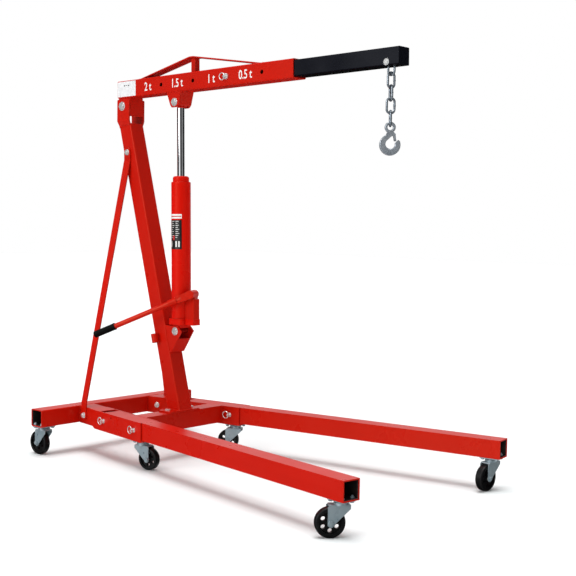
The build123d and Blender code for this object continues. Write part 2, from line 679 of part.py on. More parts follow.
def make_ram():
    bore_r = RAM_R - 6.0
    with BuildPart() as cylinder:
        with BuildSketch(ram_ring(RAM_BASE)):
            RectangleRounded(RAM_COLLAR[0], RAM_COLLAR[1], 20)
            with Locations((RAM_BLOCK[0] / 2, 0)):
                Rectangle(*RAM_BLOCK)
        extrude(amount=24)
        with BuildSketch(ram_ring(RAM_BASE)):
            Circle(RAM_R)
        extrude(amount=RAM_HEAD - RAM_BASE)
        fillet(cylinder.edges().group_by(Axis.Z)[-1], 4)
        with BuildSketch(ram_ring(RAM_BASE - 13.5)):
            Rectangle(44, 56)
        extrude(amount=13.5)
        with BuildSketch(ram_ring(RAM_BASE + 24)):
            Circle(bore_r)
        extrude(amount=RAM_HEAD - RAM_BASE, mode=Mode.SUBTRACT)
        with BuildSketch(ram_ring(RAM_BASE + 12)):
            with Locations((PUMP_OUT, 0)):
                Circle(7 + RUN)
        extrude(amount=12, mode=Mode.SUBTRACT)
    save(cylinder.part, "ram_cylinder")

    with BuildPart() as gland:
        with BuildSketch(ram_ring(RAM_HEAD)):
            Circle(RAM_R - 6.5)
        extrude(amount=GLAND_TOP - RAM_HEAD)
        fillet(gland.edges().group_by(Axis.Z)[-1], 9)
        with BuildSketch(ram_ring(RAM_HEAD - 30)):
            Circle(bore_r)
        extrude(amount=30)
        with BuildSketch(ram_ring(RAM_HEAD - 31)):
            Circle(ROD_R + RUN)
        extrude(amount=80, mode=Mode.SUBTRACT)
    save(gland.part, "gland_nut")

    piston_v = 320.0
    with BuildPart() as rod:
        with BuildSketch(ram_ring(piston_v)):
            Circle(ROD_R)
        extrude(amount=RAM_LENGTH - piston_v)
        with BuildSketch(ram_ring(piston_v)):
            Circle(bore_r - RUN)
        extrude(amount=30)
        with BuildSketch(RAM_PLANE.offset(-24)):
            with Locations((0, RAM_LENGTH)):
                Circle(17)
        extrude(amount=48)
        with BuildSketch(RAM_PLANE.offset(-25)):
            with Locations((0, RAM_LENGTH)):
                Circle(RAM_BOLT_R + RUN)
        extrude(amount=50, mode=Mode.SUBTRACT)
    save(rod.part, "piston_rod")


def make_pump():
    top, back, shaft = pump_frame()
    body_v = RAM_BASE + 24.0
    body_top = 131.0
    knuckle_r = 17.0
    shaft_r = 7.0
    across = Plane(origin=top - shaft * 17, x_dir=back, z_dir=shaft)
    with BuildPart() as body:
        with BuildSketch(ram_ring(body_v)):
            with Locations(((RAM_BLOCK[0] + RAM_R) / 2, 0)):
                Rectangle(RAM_BLOCK[0] - RAM_R, RAM_BLOCK[1] - 3)
        extrude(amount=body_top - body_v)
        fillet(body.edges().filter_by(lambda e: e.length > 60), 3)
        with BuildSketch(across):
            Circle(knuckle_r)
            with Locations((0, knuckle_r / 2 + 4)):
                Rectangle(26, knuckle_r + 8)
        extrude(amount=34)
        with BuildSketch(ram_ring(body_v)):
            Circle(RAM_R)
        extrude(amount=200, mode=Mode.SUBTRACT)
        with BuildSketch(ram_ring(body_v)):
            with Locations((PUMP_OUT, 0)):
                Circle(7 + RUN)
        extrude(amount=150 - body_v - knuckle_r + 4, mode=Mode.SUBTRACT)
        with BuildSketch(across.offset(-1)):
            Circle(shaft_r + RUN)
        extrude(amount=36, mode=Mode.SUBTRACT)
    save(body.part, "pump_body")

    with BuildPart() as plunger:
        with BuildSketch(ram_ring(RAM_BASE + 20)):
            with Locations((PUMP_OUT, 0)):
                Circle(7)
        extrude(amount=58)
    save(plunger.part, "pump_plunger")

    drop = radians(HANDLE_DROP)
    arm = Vector(back.X * cos(drop), back.Y * cos(drop), -sin(drop))
    hub = Plane(origin=top - shaft * 17, x_dir=back, z_dir=shaft)
    centre = top + shaft * 28.5
    along = Plane(origin=centre, x_dir=shaft, z_dir=arm)
    with BuildPart() as lever:
        with BuildSketch(hub):
            Circle(shaft_r)
        extrude(amount=37)
        with BuildSketch(hub.offset(34.5)):
            Circle(knuckle_r)
        extrude(amount=22)
        with BuildSketch(along.offset(4)):
            Rectangle(18, 32)
        with BuildSketch(along.offset(62)):
            Rectangle(20, 26)
        loft()
        with BuildSketch(along.offset(62)):
            Circle(13.5)
        extrude(amount=40)
        with BuildSketch(along.offset(40)):
            Circle(HANDLE_R)
        extrude(amount=70, mode=Mode.SUBTRACT)
    save(lever.part, "pump_lever")

    with BuildPart() as handle:
        with BuildSketch(along.offset(40)):
            Circle(HANDLE_R)
            Circle(HANDLE_R - 2, mode=Mode.SUBTRACT)
        extrude(amount=HANDLE_LENGTH - 44)
    save(handle.part, "pump_handle")

    with BuildPart() as grip:
        with BuildSketch(along.offset(HANDLE_LENGTH - 100)):
            Circle(14.5)
        extrude(amount=100)
        fillet(grip.edges(), 4)
        with BuildSketch(along.offset(HANDLE_LENGTH - 100)):
            Circle(HANDLE_R)
        extrude(amount=96, mode=Mode.SUBTRACT)
    save(grip.part, "handle_grip")

    valve = Plane(origin=in_world(RAM_PLANE, 0, RAM_BASE + 12, -RAM_COLLAR[1] / 2),
                  x_dir=(1, 0, 0), z_dir=(0, 1, 0))
    with BuildPart() as knob:
        with BuildSketch(valve.offset(GAP)):
            Circle(6)
        extrude(amount=8)
        with BuildSketch(valve.offset(8)):
            RectangleRounded(26, 9, 4)
        extrude(amount=8)
    save(knob.part, "release_valve")


# ---------------------------------------------------------------- boom
def make_boom():
    half = TUBE / 2
    with BuildPart() as boom:
        with BuildSketch(BOOM_PLANE.offset(-half)):
            with Locations((BOOM_REAR + BOOM_LENGTH / 2, BOOM_MID)):
                Rectangle(BOOM_LENGTH, TUBE)
        extrude(amount=TUBE)
        fillet(boom.edges().filter_by(lambda e: e.length > BOOM_LENGTH - 1), 5)
        with BuildSketch(BOOM_PLANE.offset(-half + WALL)):
            with Locations((BOOM_REAR + BOOM_LENGTH / 2, BOOM_MID)):
                Rectangle(BOOM_LENGTH + 2, TUBE - 2 * WALL)
        extrude(amount=TUBE - 2 * WALL, mode=Mode.SUBTRACT)
        with BuildSketch(BOOM_PLANE.offset(-half - 1)):
            with Locations([(LOAD_HOLE_1 + i * LOAD_PITCH, BOOM_MID) for i in range(4)]):
                Circle(LOCK_PIN_R + RUN)
        extrude(amount=TUBE + 2, mode=Mode.SUBTRACT)
    save(boom.part, "boom_tube")

    lug_out = TUBE / 2 - 1.0
    lug_front = 43.0
    with BuildPart() as lug:
        with BuildSketch(BOOM_PLANE.offset(-lug_out)):
            Polygon((-30, BOOM_BOTTOM), (lug_front, BOOM_BOTTOM), (lug_front, -42), (14, -42),
                    (-30, 0), align=None)
        extrude(amount=2 * lug_out)
        with BuildSketch(BOOM_PLANE.offset(-lug_out + 6)):
            Polygon((-31, BOOM_BOTTOM + 1), (lug_front - 6, BOOM_BOTTOM + 1), (lug_front - 6, -43),
                    (-31, -43), align=None)
        extrude(amount=2 * lug_out - 12, mode=Mode.SUBTRACT)
        with BuildSketch(BOOM_PLANE.offset(-lug_out - 1)):
            Circle(BOOM_PIN_R + RUN)
        extrude(amount=2 * lug_out + 2, mode=Mode.SUBTRACT)
    save(lug.part, "boom_lug")

    strap_t = 5.0
    post_u = 398.0
    post_half = 11.0
    post_top = BOOM_TOP + 57.5
    rear_u, front_u = 88.0, 782.0
    with BuildPart() as post:
        with BuildSketch(BOOM_PLANE.offset(-12)):
            with Locations((post_u, (BOOM_TOP + post_top) / 2)):
                Rectangle(2 * post_half, post_top - BOOM_TOP)
        extrude(amount=24)
    save(post.part, "boom_post")

    with BuildPart() as strap:
        with BuildSketch(BOOM_PLANE.offset(-24)):
            Polygon((rear_u, BOOM_TOP), (rear_u + 18, BOOM_TOP), (post_u - post_half, post_top),
                    (post_u + post_half, post_top), (front_u - 30, BOOM_TOP), (front_u, BOOM_TOP),
                    (post_u + post_half, post_top + strap_t), (post_u - post_half, post_top + strap_t),
                    align=None)
        extrude(amount=48)
    save(strap.part, "boom_strap")

    u, w = RAM_TOP
    with BuildPart() as bracket:
        with BuildSketch(BOOM_PLANE.offset(-half)):
            Polygon((u - 45, BOOM_BOTTOM), (u + 38, BOOM_BOTTOM), (u + 24, w - 8), (u + 16, w - 17),
                    (u + 8, w - 20), (u - 16, w - 20), (u - 24, w - 10), align=None)
        extrude(amount=TUBE)
        with BuildSketch(BOOM_PLANE.offset(-half + 6)):
            Polygon((u - 46, BOOM_BOTTOM + 1), (u + 33, BOOM_BOTTOM + 1), (u + 19, w - 8),
                    (u + 18, w - 30), (u - 46, w - 30), align=None)
        extrude(amount=TUBE - 12, mode=Mode.SUBTRACT)
        with BuildSketch(BOOM_PLANE.offset(-half - 1)):
            with Locations(RAM_TOP):
                Circle(RAM_BOLT_R)
        extrude(amount=TUBE + 2, mode=Mode.SUBTRACT)
    save(bracket.part, "ram_bracket")
    save(across_bolt(BOOM_PLANE, *RAM_TOP, RAM_BOLT_R, half).part, "ram_top_bolt")


def make_extension():
    half = EXT_SIZE / 2
    inner = EXT_SIZE - 2 * WALL
    length = EXT_FRONT - EXT_REAR
    middle = (EXT_FRONT + EXT_REAR) / 2
    slot_end = LOCK_U + EXT_RETRACT
    slot_half = LOCK_PIN_R + 0.6
    with BuildPart() as extension:
        with BuildSketch(BOOM_PLANE.offset(-half)):
            with Locations((middle, BOOM_MID)):
                Rectangle(length, EXT_SIZE)
        extrude(amount=EXT_SIZE)
        fillet(extension.edges().filter_by(lambda e: e.length > length - 1), 4)
        with BuildSketch(BOOM_PLANE.offset(-inner / 2)):
            with Locations((middle - WALL, BOOM_MID)):
                Rectangle(length, inner)
        extrude(amount=inner, mode=Mode.SUBTRACT)
        with BuildSketch(BOOM_PLANE.offset(-half - 1)):
            with Locations(((EXT_REAR + slot_end) / 2 - 5, BOOM_MID)):
                Rectangle(slot_end - EXT_REAR + 10, 2 * slot_half)
            with Locations((slot_end, BOOM_MID)):
                Circle(slot_half)
            with Locations(HOOK_BOLT):
                Circle(HOOK_BOLT_R)
        extrude(amount=EXT_SIZE + 2, mode=Mode.SUBTRACT)
        with BuildSketch(BOOM_PLANE.offset(-9)):
            with Locations((HOOK_BOLT[0], BOOM_MID - half)):
                Rectangle(50, 2 * WALL + 1)
        extrude(amount=18, mode=Mode.SUBTRACT)
    save(extension.part, "boom_extension")
    save(across_bolt(BOOM_PLANE, *HOOK_BOLT, HOOK_BOLT_R, half, head=1.6, head_t=5).part, "hook_bolt")

    out = TUBE / 2
    ring_r = 13.0
    with BuildPart() as pin:
        with BuildSketch(BOOM_PLANE.offset(-out - 12)):
            with Locations((LOCK_U, BOOM_MID)):
                Circle(LOCK_PIN_R)
        extrude(amount=2 * out + 12 + GAP)
        with BuildSketch(BOOM_PLANE.offset(out + GAP)):
            with Locations((LOCK_U, BOOM_MID)):
                Circle(LOCK_PIN_R + 3.5)
        extrude(amount=6)
        with BuildSketch(BOOM_PLANE.offset(out + GAP + 6)):
            with Locations((LOCK_U, BOOM_MID)):
                Circle(4.5)
        extrude(amount=9)
        bore = Plane(origin=in_world(BOOM_PLANE, LOCK_U, BOOM_MID - 6, out + 11), z_dir=(0, 0, 1))
        with BuildSketch(bore):
            Circle(2.6)
        extrude(amount=12, mode=Mode.SUBTRACT)
        middle_point = in_world(BOOM_PLANE, LOCK_U - ring_r, BOOM_MID, out + 11)
        with BuildSketch(Plane(origin=middle_point, x_dir=BOOM_PLANE.x_dir, z_dir=BOOM_PLANE.y_dir)):
            with Locations((ring_r, 0)):
                Circle(1.5)
        revolve(axis=Axis(middle_point, (0, 1, 0)))
    save(pin.part, "boom_lock_pin")


# ---------------------------------------------------------------- chain and hook
def link_tops():
    """Height of each link's upper wire; the first one hangs on the hook bolt."""
    hang = in_world(BOOM_PLANE, *HOOK_BOLT)
    first = hang.Z + HOOK_BOLT_R + LINK_WIRE + GAP
    step = LINK_LONG - 2 * LINK_WIRE - GAP
    return hang.X, [first - i * step for i in range(len(LINK_TURNS))]


def make_chain():
    x, tops = link_tops()
    bend = LINK_WIDE / 2
    for index, (top, turn) in enumerate(zip(tops, LINK_TURNS)):
        a = radians(turn)
        face = Plane(origin=(x, 0, top), x_dir=(cos(a), sin(a), 0), z_dir=(sin(a), -cos(a), 0))
        section = Plane(origin=in_world(face, bend, -bend), x_dir=face.x_dir, z_dir=(0, 0, 1))
        with BuildPart() as link:
            with BuildLine(face):
                right = Line((bend, -bend), (bend, bend - LINK_LONG))
                low = ThreePointArc(right @ 1, (0, -LINK_LONG), (-bend, bend - LINK_LONG))
                left = Line(low @ 1, (-bend, -bend))
                ThreePointArc(left @ 1, (0, 0), right @ 0)
            with BuildSketch(section):
                Circle(LINK_WIRE)
            sweep()
        save(link.part, f"chain_link_{index + 1}")


def hook_plane():
    x, tops = link_tops()
    eye_z = tops[-1] - LINK_LONG + LINK_WIRE + 2 * GAP - HOOK_EYE_R + HOOK_EYE_WALL / 2
    a = radians(HOOK_TURN)
    return Plane(origin=(x, 0, eye_z), x_dir=(cos(a), sin(a), 0), z_dir=(sin(a), -cos(a), 0))


def make_hook():
    face = hook_plane()
    bx, by = HOOK_BOWL
    with BuildPart() as hook:
        with BuildSketch(face.offset(-7)):
            with Locations((bx - 1, by - 3)):
                Circle(HOOK_OUTER_R)
            Polygon((-9, -12), (9, -12), (16, -20), (17, -32), (-20, -44), (-14, -26), align=None)
            with Locations(HOOK_BOWL):
                Circle(HOOK_BOWL_R, mode=Mode.SUBTRACT)
            Polygon((bx - 11, by + 11.5), (bx + 3, by + 25), (bx + 7, by + 27), (bx + 15, by + 28),
                    (bx + 45, by + 34), (bx + 45, by + 2), (bx + 26, by + 14), (bx + 17, by + 4),
                    align=None, mode=Mode.SUBTRACT)
        extrude(amount=14)
        lower = hook.edges().filter_by(lambda e: e.center().Z < face.origin.Z + by and e.length > 12)
        fillet(lower.filter_by(lambda e: abs(e.tangent_at(0.5).dot(face.z_dir)) < 0.1), 4)
        with BuildSketch(face.offset(-8)):
            Circle(HOOK_EYE_R)
        extrude(amount=16, mode=Mode.SUBTRACT)
        with BuildSketch(Plane(origin=face.origin, x_dir=face.x_dir, z_dir=-face.y_dir)):
            with Locations((HOOK_EYE_R, 0)):
                RectangleRounded(HOOK_EYE_WALL, 12, 4)
        revolve(axis=Axis(face.origin, face.z_dir))
        with BuildSketch(face.offset(-8)):
            with Locations(LATCH_PIN):
                Circle(2)
        extrude(amount=16, mode=Mode.SUBTRACT)
    save(hook.part, "hook")

    tip = (bx + 19, by + 10)
    with BuildPart() as latch:
        with BuildSketch(face.offset(-9.5)):
            with Locations(LATCH_PIN):
                Circle(4.5)
            Polygon((LATCH_PIN[0] - 4, LATCH_PIN[1]), (LATCH_PIN[0] + 4, LATCH_PIN[1]),
                    (tip[0] + 1, tip[1]), (tip[0] - 6, tip[1]), align=None)
        extrude(amount=19)
        with BuildSketch(face.offset(-7.5)):
            with Locations(LATCH_PIN):
                Rectangle(40, 24)
        extrude(amount=15, mode=Mode.SUBTRACT)
        with BuildSketch(face.offset(-9.5)):
            with Locations(LATCH_PIN):
                Circle(2 - RUN)
        extrude(amount=19)
    save(latch.part, "hook_latch")


# ---------------------------------------------------------------- the whole crane
casters = {caster.name: caster for caster in caster_list()}
base_casters = [caster for caster in casters.values() if "front" not in caster.name]
rear_casters = [caster for caster in base_casters if "rear" in caster.name]

make_rear_beam(caster_bolt_holes(rear_casters))
make_cross_member()
for sign, word in SIDES:
    make_side_rail(sign, word)
    make_leg_bracket(sign, word, caster_bolt_holes([casters[f"middle_{word}"]]))
    make_leg(sign, word, caster_bolt_holes([casters[f"front_{word}"]]))
    make_stay(sign, word)
    make_caster_plates([casters[f"front_{word}"]], f"caster_plate_leg_{word}")
    make_caster_bolts([casters[f"front_{word}"]], f"caster_bolts_leg_{word}")
make_leg_pins()
make_mast()
make_mast_head()
make_ram_clevis()
make_handle_holder()
make_frame_bolts()
make_caster_plates(base_casters, "caster_plates_base")
make_caster_bolts(base_casters, "caster_bolts_base")
for caster in casters.values():
    make_caster_fork(caster)
    make_caster_wheel(caster)
make_ram()
make_pump()
make_boom()
make_extension()
make_chain()
make_hook()
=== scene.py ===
"""Looks of the folding engine hoist: finishes, weld beads, marks and small hardware,
with a pale studio floor, soft light and the camera."""
import json
import math
from collections import namedtuple

import bmesh
import bpy
from mathutils import Matrix, Vector


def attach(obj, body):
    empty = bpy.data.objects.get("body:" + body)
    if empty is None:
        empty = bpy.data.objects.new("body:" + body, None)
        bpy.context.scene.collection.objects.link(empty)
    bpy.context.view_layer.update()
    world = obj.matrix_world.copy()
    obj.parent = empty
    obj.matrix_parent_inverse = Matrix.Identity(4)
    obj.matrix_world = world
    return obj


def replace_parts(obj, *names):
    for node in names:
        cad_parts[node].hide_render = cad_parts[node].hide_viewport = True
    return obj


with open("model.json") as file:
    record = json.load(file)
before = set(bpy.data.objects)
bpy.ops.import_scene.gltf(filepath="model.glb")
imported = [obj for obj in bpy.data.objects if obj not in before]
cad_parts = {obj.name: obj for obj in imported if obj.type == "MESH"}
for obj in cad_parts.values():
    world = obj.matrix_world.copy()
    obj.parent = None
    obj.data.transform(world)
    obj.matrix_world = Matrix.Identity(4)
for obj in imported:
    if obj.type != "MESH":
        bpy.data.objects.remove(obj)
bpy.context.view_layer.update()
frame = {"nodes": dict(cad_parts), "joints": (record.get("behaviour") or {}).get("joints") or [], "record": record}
nodes = frame["nodes"]
joints = {joint["name"]: joint for joint in frame["joints"]}


# ---------------------------------------------------------------- sizes, metres
TUBE = 0.070                # square tube of the base, the mast and the boom
HALF = TUBE / 2
SPLAY = math.radians(9)     # each leg opens outward
TRACK = 0.242               # leg centre line from the centre plane, beside the mast's foot
BASE_LOW = 0.118
BASE_TOP = BASE_LOW + TUBE
BEAM_X = -0.400             # centre line of the rear beam
BEAM_HALF_LENGTH = 0.409
LEG_TUBE_Z = 0.1535         # centre line of the legs
LEG_END = 1.260             # along the leg line
BRACKET_END = -0.2695       # rear end of the leg bracket, along the leg line

MAST_FOOT = (0.004, 0.194)  # X, Z on top of the foot plate
MAST_LEAN = math.radians(15.3)
MAST_TOP = 1.195            # along the mast
STAY_TOP = (-0.290, 1.235)  # X, Z
STAY_FOOT = -0.323          # along the leg line
STAY_Z = 0.153
STAY_T = 0.005

BOOM_RISE = math.radians(0.9)
BOOM_REAR = -0.0365         # along the boom, from its pivot
BOOM_LOW = 0.0355           # underside of the boom above its pivot line
BOOM_MID = BOOM_LOW + HALF
BOOM_TOP = BOOM_LOW + TUBE
STRAP = (0.0885, 0.7815)    # rear and front end of the strap, along the boom
BOOM_POST = (0.3865, 0.4095)
POST_TOP = 0.1625
LOAD_HOLES = [0.234 + 0.185 * i for i in range(4)]
RAM_BOLT = (0.313, -0.005)  # along and above the boom's pivot line
HOOK_BOLT = (1.356, 0.052)

RAM_FOOT = Vector((0.008, 0, 0.513))
RAM_R = 0.039
RAM_EYE_Z = 1.404           # the rod's red eye begins here
CHEEKS = 0.030              # the ram's foot bolt is painted over this near to the centre plane, in a darker red that is painted shade
HANDLE_LENGTH = 0.455
GRIP_LENGTH = 0.100
HANDLE_HEADING = math.radians(24.7)     # to the right of straight back
HANDLE_DROP = math.radians(23.1)
LINK_PITCH = 0.0427
LINK_MIDDLE = -0.0152       # middle of the first link, from its pivot
LINK_SIDE = 0.013           # from a link's middle to the centre of the wire on its side
LINK_TURNS = (0, 70, -35, 45, -47)      # about the chain, degrees
WHEEL_R = {"rear": 0.048, "middle": 0.043, "front": 0.048}
WHEEL_FACE = 0.0135         # side of a wheel's rim from the wheel's middle
DECAL = 0.0002              # thickness of a decal, which is where print on it begins


# ---------------------------------------------------------------- directions
def side_frame(x, z, lean):
    """Seen from the crane's right: local x forward, y up and leaning back, z towards the right."""
    return Matrix(((math.cos(lean), -math.sin(lean), 0, x), (0, 0, -1, 0),
                   (math.sin(lean), math.cos(lean), 0, z), (0, 0, 0, 1)))


def leg_frame(side, z):
    """Local x along the leg's centre line, y up, z towards the right."""
    return Matrix(((math.cos(SPLAY), 0, side * math.sin(SPLAY), 0),
                   (side * math.sin(SPLAY), 0, -math.cos(SPLAY), side * TRACK),
                   (0, 1, 0, z), (0, 0, 0, 1)))


def frame_from(origin, x_dir, z_dir):
    """Local x along x_dir and z along z_dir, which are square to each other."""
    x_dir, z_dir = Vector(x_dir).normalized(), Vector(z_dir).normalized()
    y_dir = z_dir.cross(x_dir)
    columns = Matrix((x_dir, y_dir, z_dir)).transposed().to_4x4()
    columns.translation = origin
    return columns


boom_pivot = Vector(joints["boom_lift"]["pos_m"])
ram_top = Vector(joints["ram_tilt"]["pos_m"])
ram_lean = math.atan2(RAM_FOOT.x - ram_top.x, ram_top.z - RAM_FOOT.z)
BOOM = side_frame(boom_pivot.x, boom_pivot.z, BOOM_RISE)
MAST = side_frame(*MAST_FOOT, MAST_LEAN)
RAM = side_frame(RAM_FOOT.x, RAM_FOOT.z, ram_lean)


# ---------------------------------------------------------------- finishes
class Finish:
    """A node material under construction: a Principled shader and its helpers."""

    def __init__(self, name, **sockets):
        self.material = bpy.data.materials.new(name)
        self.material.use_nodes = True
        self.tree = self.material.node_tree
        self.shader = self.tree.nodes["Principled BSDF"]
        for socket, value in sockets.items():
            self.shader.inputs[socket.replace("_", " ")].default_value = value
        self.place = self.add("ShaderNodeTexCoord").outputs["Object"]

    def add(self, kind, **settings):
        """A new node with some of its settings changed."""
        node = self.tree.nodes.new(kind)
        for name, value in settings.items():
            setattr(node, name, value)
        return node

    def link(self, output, target):
        """Plug an output into an input."""
        self.tree.links.new(output, target)

    def noise(self, scale, detail=2.0, stretch=(1, 1, 1)):
        """Noise in the object's own place, about 0.3 to 0.7."""
        mapping = self.add("ShaderNodeMapping")
        mapping.inputs["Scale"].default_value = stretch
        self.link(self.place, mapping.inputs["Vector"])
        noise = self.add("ShaderNodeTexNoise")
        noise.inputs["Scale"].default_value = scale
        noise.inputs["Detail"].default_value = detail
        self.link(mapping.outputs["Vector"], noise.inputs["Vector"])
        return noise.outputs["Fac"]

    def cells(self, scale):
        """A random colour for each cell, for zinc spangle."""
        cells = self.add("ShaderNodeTexVoronoi")
        cells.inputs["Scale"].default_value = scale
        self.link(self.place, cells.inputs["Vector"])
        return cells.outputs["Color"]

    def axis(self, name):
        """The object's own X, Y or Z."""
        split = self.add("ShaderNodeSeparateXYZ")
        self.link(self.place, split.inputs[0])
        return split.outputs[name]

    def remap(self, value, low, high, to_low, to_high):
        """The range low to high mapped to to_low to to_high, and held beyond its ends."""
        remap = self.add("ShaderNodeMapRange")
        numbers = {"From Min": low, "From Max": high, "To Min": to_low, "To Max": to_high}
        for socket, number in numbers.items():
            remap.inputs[socket].default_value = number
        self.link(value, remap.inputs["Value"])
        return remap.outputs["Result"]

    def times(self, first, second):
        """Product of two outputs."""
        product = self.add("ShaderNodeMath", operation="MULTIPLY")
        self.link(first, product.inputs[0])
        self.link(second, product.inputs[1])
        return product.outputs["Value"]

    def blend(self, factor, first, second):
        """Mix of two colours; each may be a colour or another output."""
        mix = self.add("ShaderNodeMix", data_type="RGBA")
        self.link(factor, mix.inputs["Factor"])
        for socket, colour in (("A", first), ("B", second)):
            target = [i for i in mix.inputs if i.name == socket and i.type == "RGBA"][0]
            if isinstance(colour, tuple):
                target.default_value = (*colour, 1)
            else:
                self.link(colour, target)
        return [o for o in mix.outputs if o.type == "RGBA"][0]

    def edges(self, radius):
        """Rounded normal for sharp edges, and a mask that is 1 on the edges."""
        bevel = self.add("ShaderNodeBevel", samples=4)
        bevel.inputs["Radius"].default_value = radius
        flat = self.add("ShaderNodeNewGeometry").outputs["Normal"]
        dot = self.add("ShaderNodeVectorMath", operation="DOT_PRODUCT")
        self.link(bevel.outputs["Normal"], dot.inputs[0])
        self.link(flat, dot.inputs[1])
        return bevel.outputs["Normal"], self.remap(dot.outputs["Value"], 0.985, 0.80, 0, 1)

    def bump(self, height, distance, strength=1.0, normal=None):
        """Normal for a height map, on top of another normal."""
        bump = self.add("ShaderNodeBump")
        bump.inputs["Strength"].default_value = strength
        bump.inputs["Distance"].default_value = distance
        self.link(height, bump.inputs["Height"])
        if normal is not None:
            self.link(normal, bump.inputs["Normal"])
        return bump.outputs["Normal"]

    def finish(self, colour=None, roughness=None, normal=None):
        """Plug in what varies and hand over the material."""
        for socket, output in (("Base Color", colour), ("Roughness", roughness), ("Normal", normal)):
            if output is not None:
                self.link(output, self.shader.inputs[socket])
        return self.material


RED = (0.51, 0.0055, 0.0012)


def paint(name, colour, worn_and_highlight_edge_colour, gloss=(0.26, 0.34), peel=0.00005, shine=0.25, sheen=(1, 0.75, 0.45)):
    """Powder coat: faint orange peel, uneven film, lighter edges and dull scuffs; the lighter edges are partly
    wear and partly a painted highlight.
    """
    f = Finish(name, Specular_IOR_Level=shine, Specular_Tint=(*sheen, 1))
    rounded, edge = f.edges(0.0016)
    film = f.remap(f.noise(4.5, 3), 0.3, 0.7, 0, 1)
    tone = f.blend(film, tuple(0.95 * c for c in colour), tuple(min(1, 1.03 * c) for c in colour))
    # edges mixed to a lighter colour: partly wear, partly a painted highlight along the edges
    worn = f.times(edge, f.remap(f.noise(55, 4), 0.42, 0.72, 0.12, 0.75))
    scuffs = f.remap(f.noise(7, 5), 0.35, 0.70, *gloss)
    return f.finish(f.blend(worn, tone, worn_and_highlight_edge_colour), scuffs,
                    f.bump(f.noise(420, 1), peel, 0.6, rounded))


def plated(name, colour, tint, roughness=(0.26, 0.42), spangle=90, grain=(1, 1, 1), metallic=0.6,
           red_shaded_within=0):
    """Zinc or plain steel: fine spangle, faint colour drift, brushed grain and dulled edges.

    A shank nearer to the centre plane than the given distance was painted over with the frame, in a darker red
    that is painted shade of the pocket."""
    f = Finish(name, Metallic=metallic)
    rounded, edge = f.edges(0.0009)
    drift = f.remap(f.noise(30, 3), 0.3, 0.7, 0, 1)
    cells = f.add("ShaderNodeSeparateColor")
    f.link(f.cells(spangle), cells.inputs["Color"])
    base = f.blend(drift, colour, tint)
    dark = f.blend(f.remap(cells.outputs["Red"], 0, 1, 0, 0.22), base, tuple(0.55 * c for c in colour))
    tone = f.blend(f.times(edge, f.remap(f.noise(160, 2), 0.3, 0.7, 0.2, 0.7)), dark, (0.78, 0.80, 0.82))
    if red_shaded_within:
        distance = f.add("ShaderNodeMath", operation="ABSOLUTE")
        f.link(f.axis("Y"), distance.inputs[0])
        red_shade_mask = f.remap(distance.outputs[0], red_shaded_within, red_shaded_within + 0.001, 1, 0)
        f.link(f.remap(red_shade_mask, 0, 1, metallic, 0), f.shader.inputs["Metallic"])
        # near the centre plane the shank takes a red darker than the frame: paint plus painted shade of the pocket
        tone = f.blend(red_shade_mask, tone, tuple(0.4 * c for c in RED))
    return f.finish(tone, f.remap(f.noise(70, 5, grain), 0.3, 0.7, *roughness),
                    f.bump(f.noise(600, 2, grain), 0.00004, 0.6, rounded))


def chrome(name, painted_above):
    """Hard chrome with hair-fine rings and an oil haze; its eye, above a height, is painted red."""
    f = Finish(name, Specular_IOR_Level=0.3)
    haze = f.remap(f.noise(9, 4, (1, 1, 0.4)), 0.45, 0.75, 0.03, 0.06)
    rings = f.noise(900, 1, (0.02, 0.02, 1))
    tone = f.blend(f.remap(f.noise(20, 2), 0.3, 0.7, 0, 1), (0.80, 0.81, 0.83), (0.70, 0.71, 0.73))
    eye = f.remap(f.axis("Z"), painted_above, painted_above + 0.001, 0, 1)
    f.link(f.remap(eye, 0, 1, 1, 0), f.shader.inputs["Metallic"])
    return f.finish(f.blend(eye, tone, RED), haze, f.bump(rings, 0.000003, 0.3))


def moulded(name, colour, dusty, roughness=(0.34, 0.52), grain=900, shine=0.22):
    """Moulded rubber or plastic: fine grain, a little dust and handling shine."""
    f = Finish(name, Specular_IOR_Level=shine)
    rounded, edge = f.edges(0.0010)
    dust = f.remap(f.noise(38, 6), 0.50, 0.80, 0, 0.55)
    tone = f.blend(dust, colour, dusty)
    worn = f.blend(f.times(edge, f.remap(f.noise(90, 3), 0.4, 0.7, 0, 0.5)), tone, dusty)
    return f.finish(worn, f.remap(f.noise(24, 4), 0.3, 0.7, *roughness),
                    f.bump(f.noise(grain, 2), 0.00005, 0.5, rounded))


def printed(name, colour, shade):
    """Vinyl decal: slightly uneven print with a satin face."""
    f = Finish(name, Coat_Weight=0.2, Coat_Roughness=0.2)
    tone = f.blend(f.remap(f.noise(60, 4), 0.35, 0.75, 0, 1), colour, shade)
    return f.finish(tone, f.remap(f.noise(30, 3), 0.3, 0.7, 0.3, 0.45),
                    f.bump(f.noise(700, 1), 0.00002, 0.4))


# the second colour of each paint is its lighter edge: partly wear, partly painted highlight
red = paint("red_powder_coat", RED, (0.62, 0.09, 0.045))
red_cast = paint("red_cast_paint", (0.51, 0.006, 0.0015), (0.48, 0.05, 0.03), (0.28, 0.46), 0.0002, 0.16)
red_ram = paint("red_ram_paint", (0.62, 0.004, 0.001), (0.60, 0.04, 0.02), (0.24, 0.34), shine=0.16)
dark_paint = paint("blue_black_paint", (0.0025, 0.0028, 0.0060), (0.05, 0.05, 0.06), (0.26, 0.42),
                   sheen=(0.86, 0.9, 1))
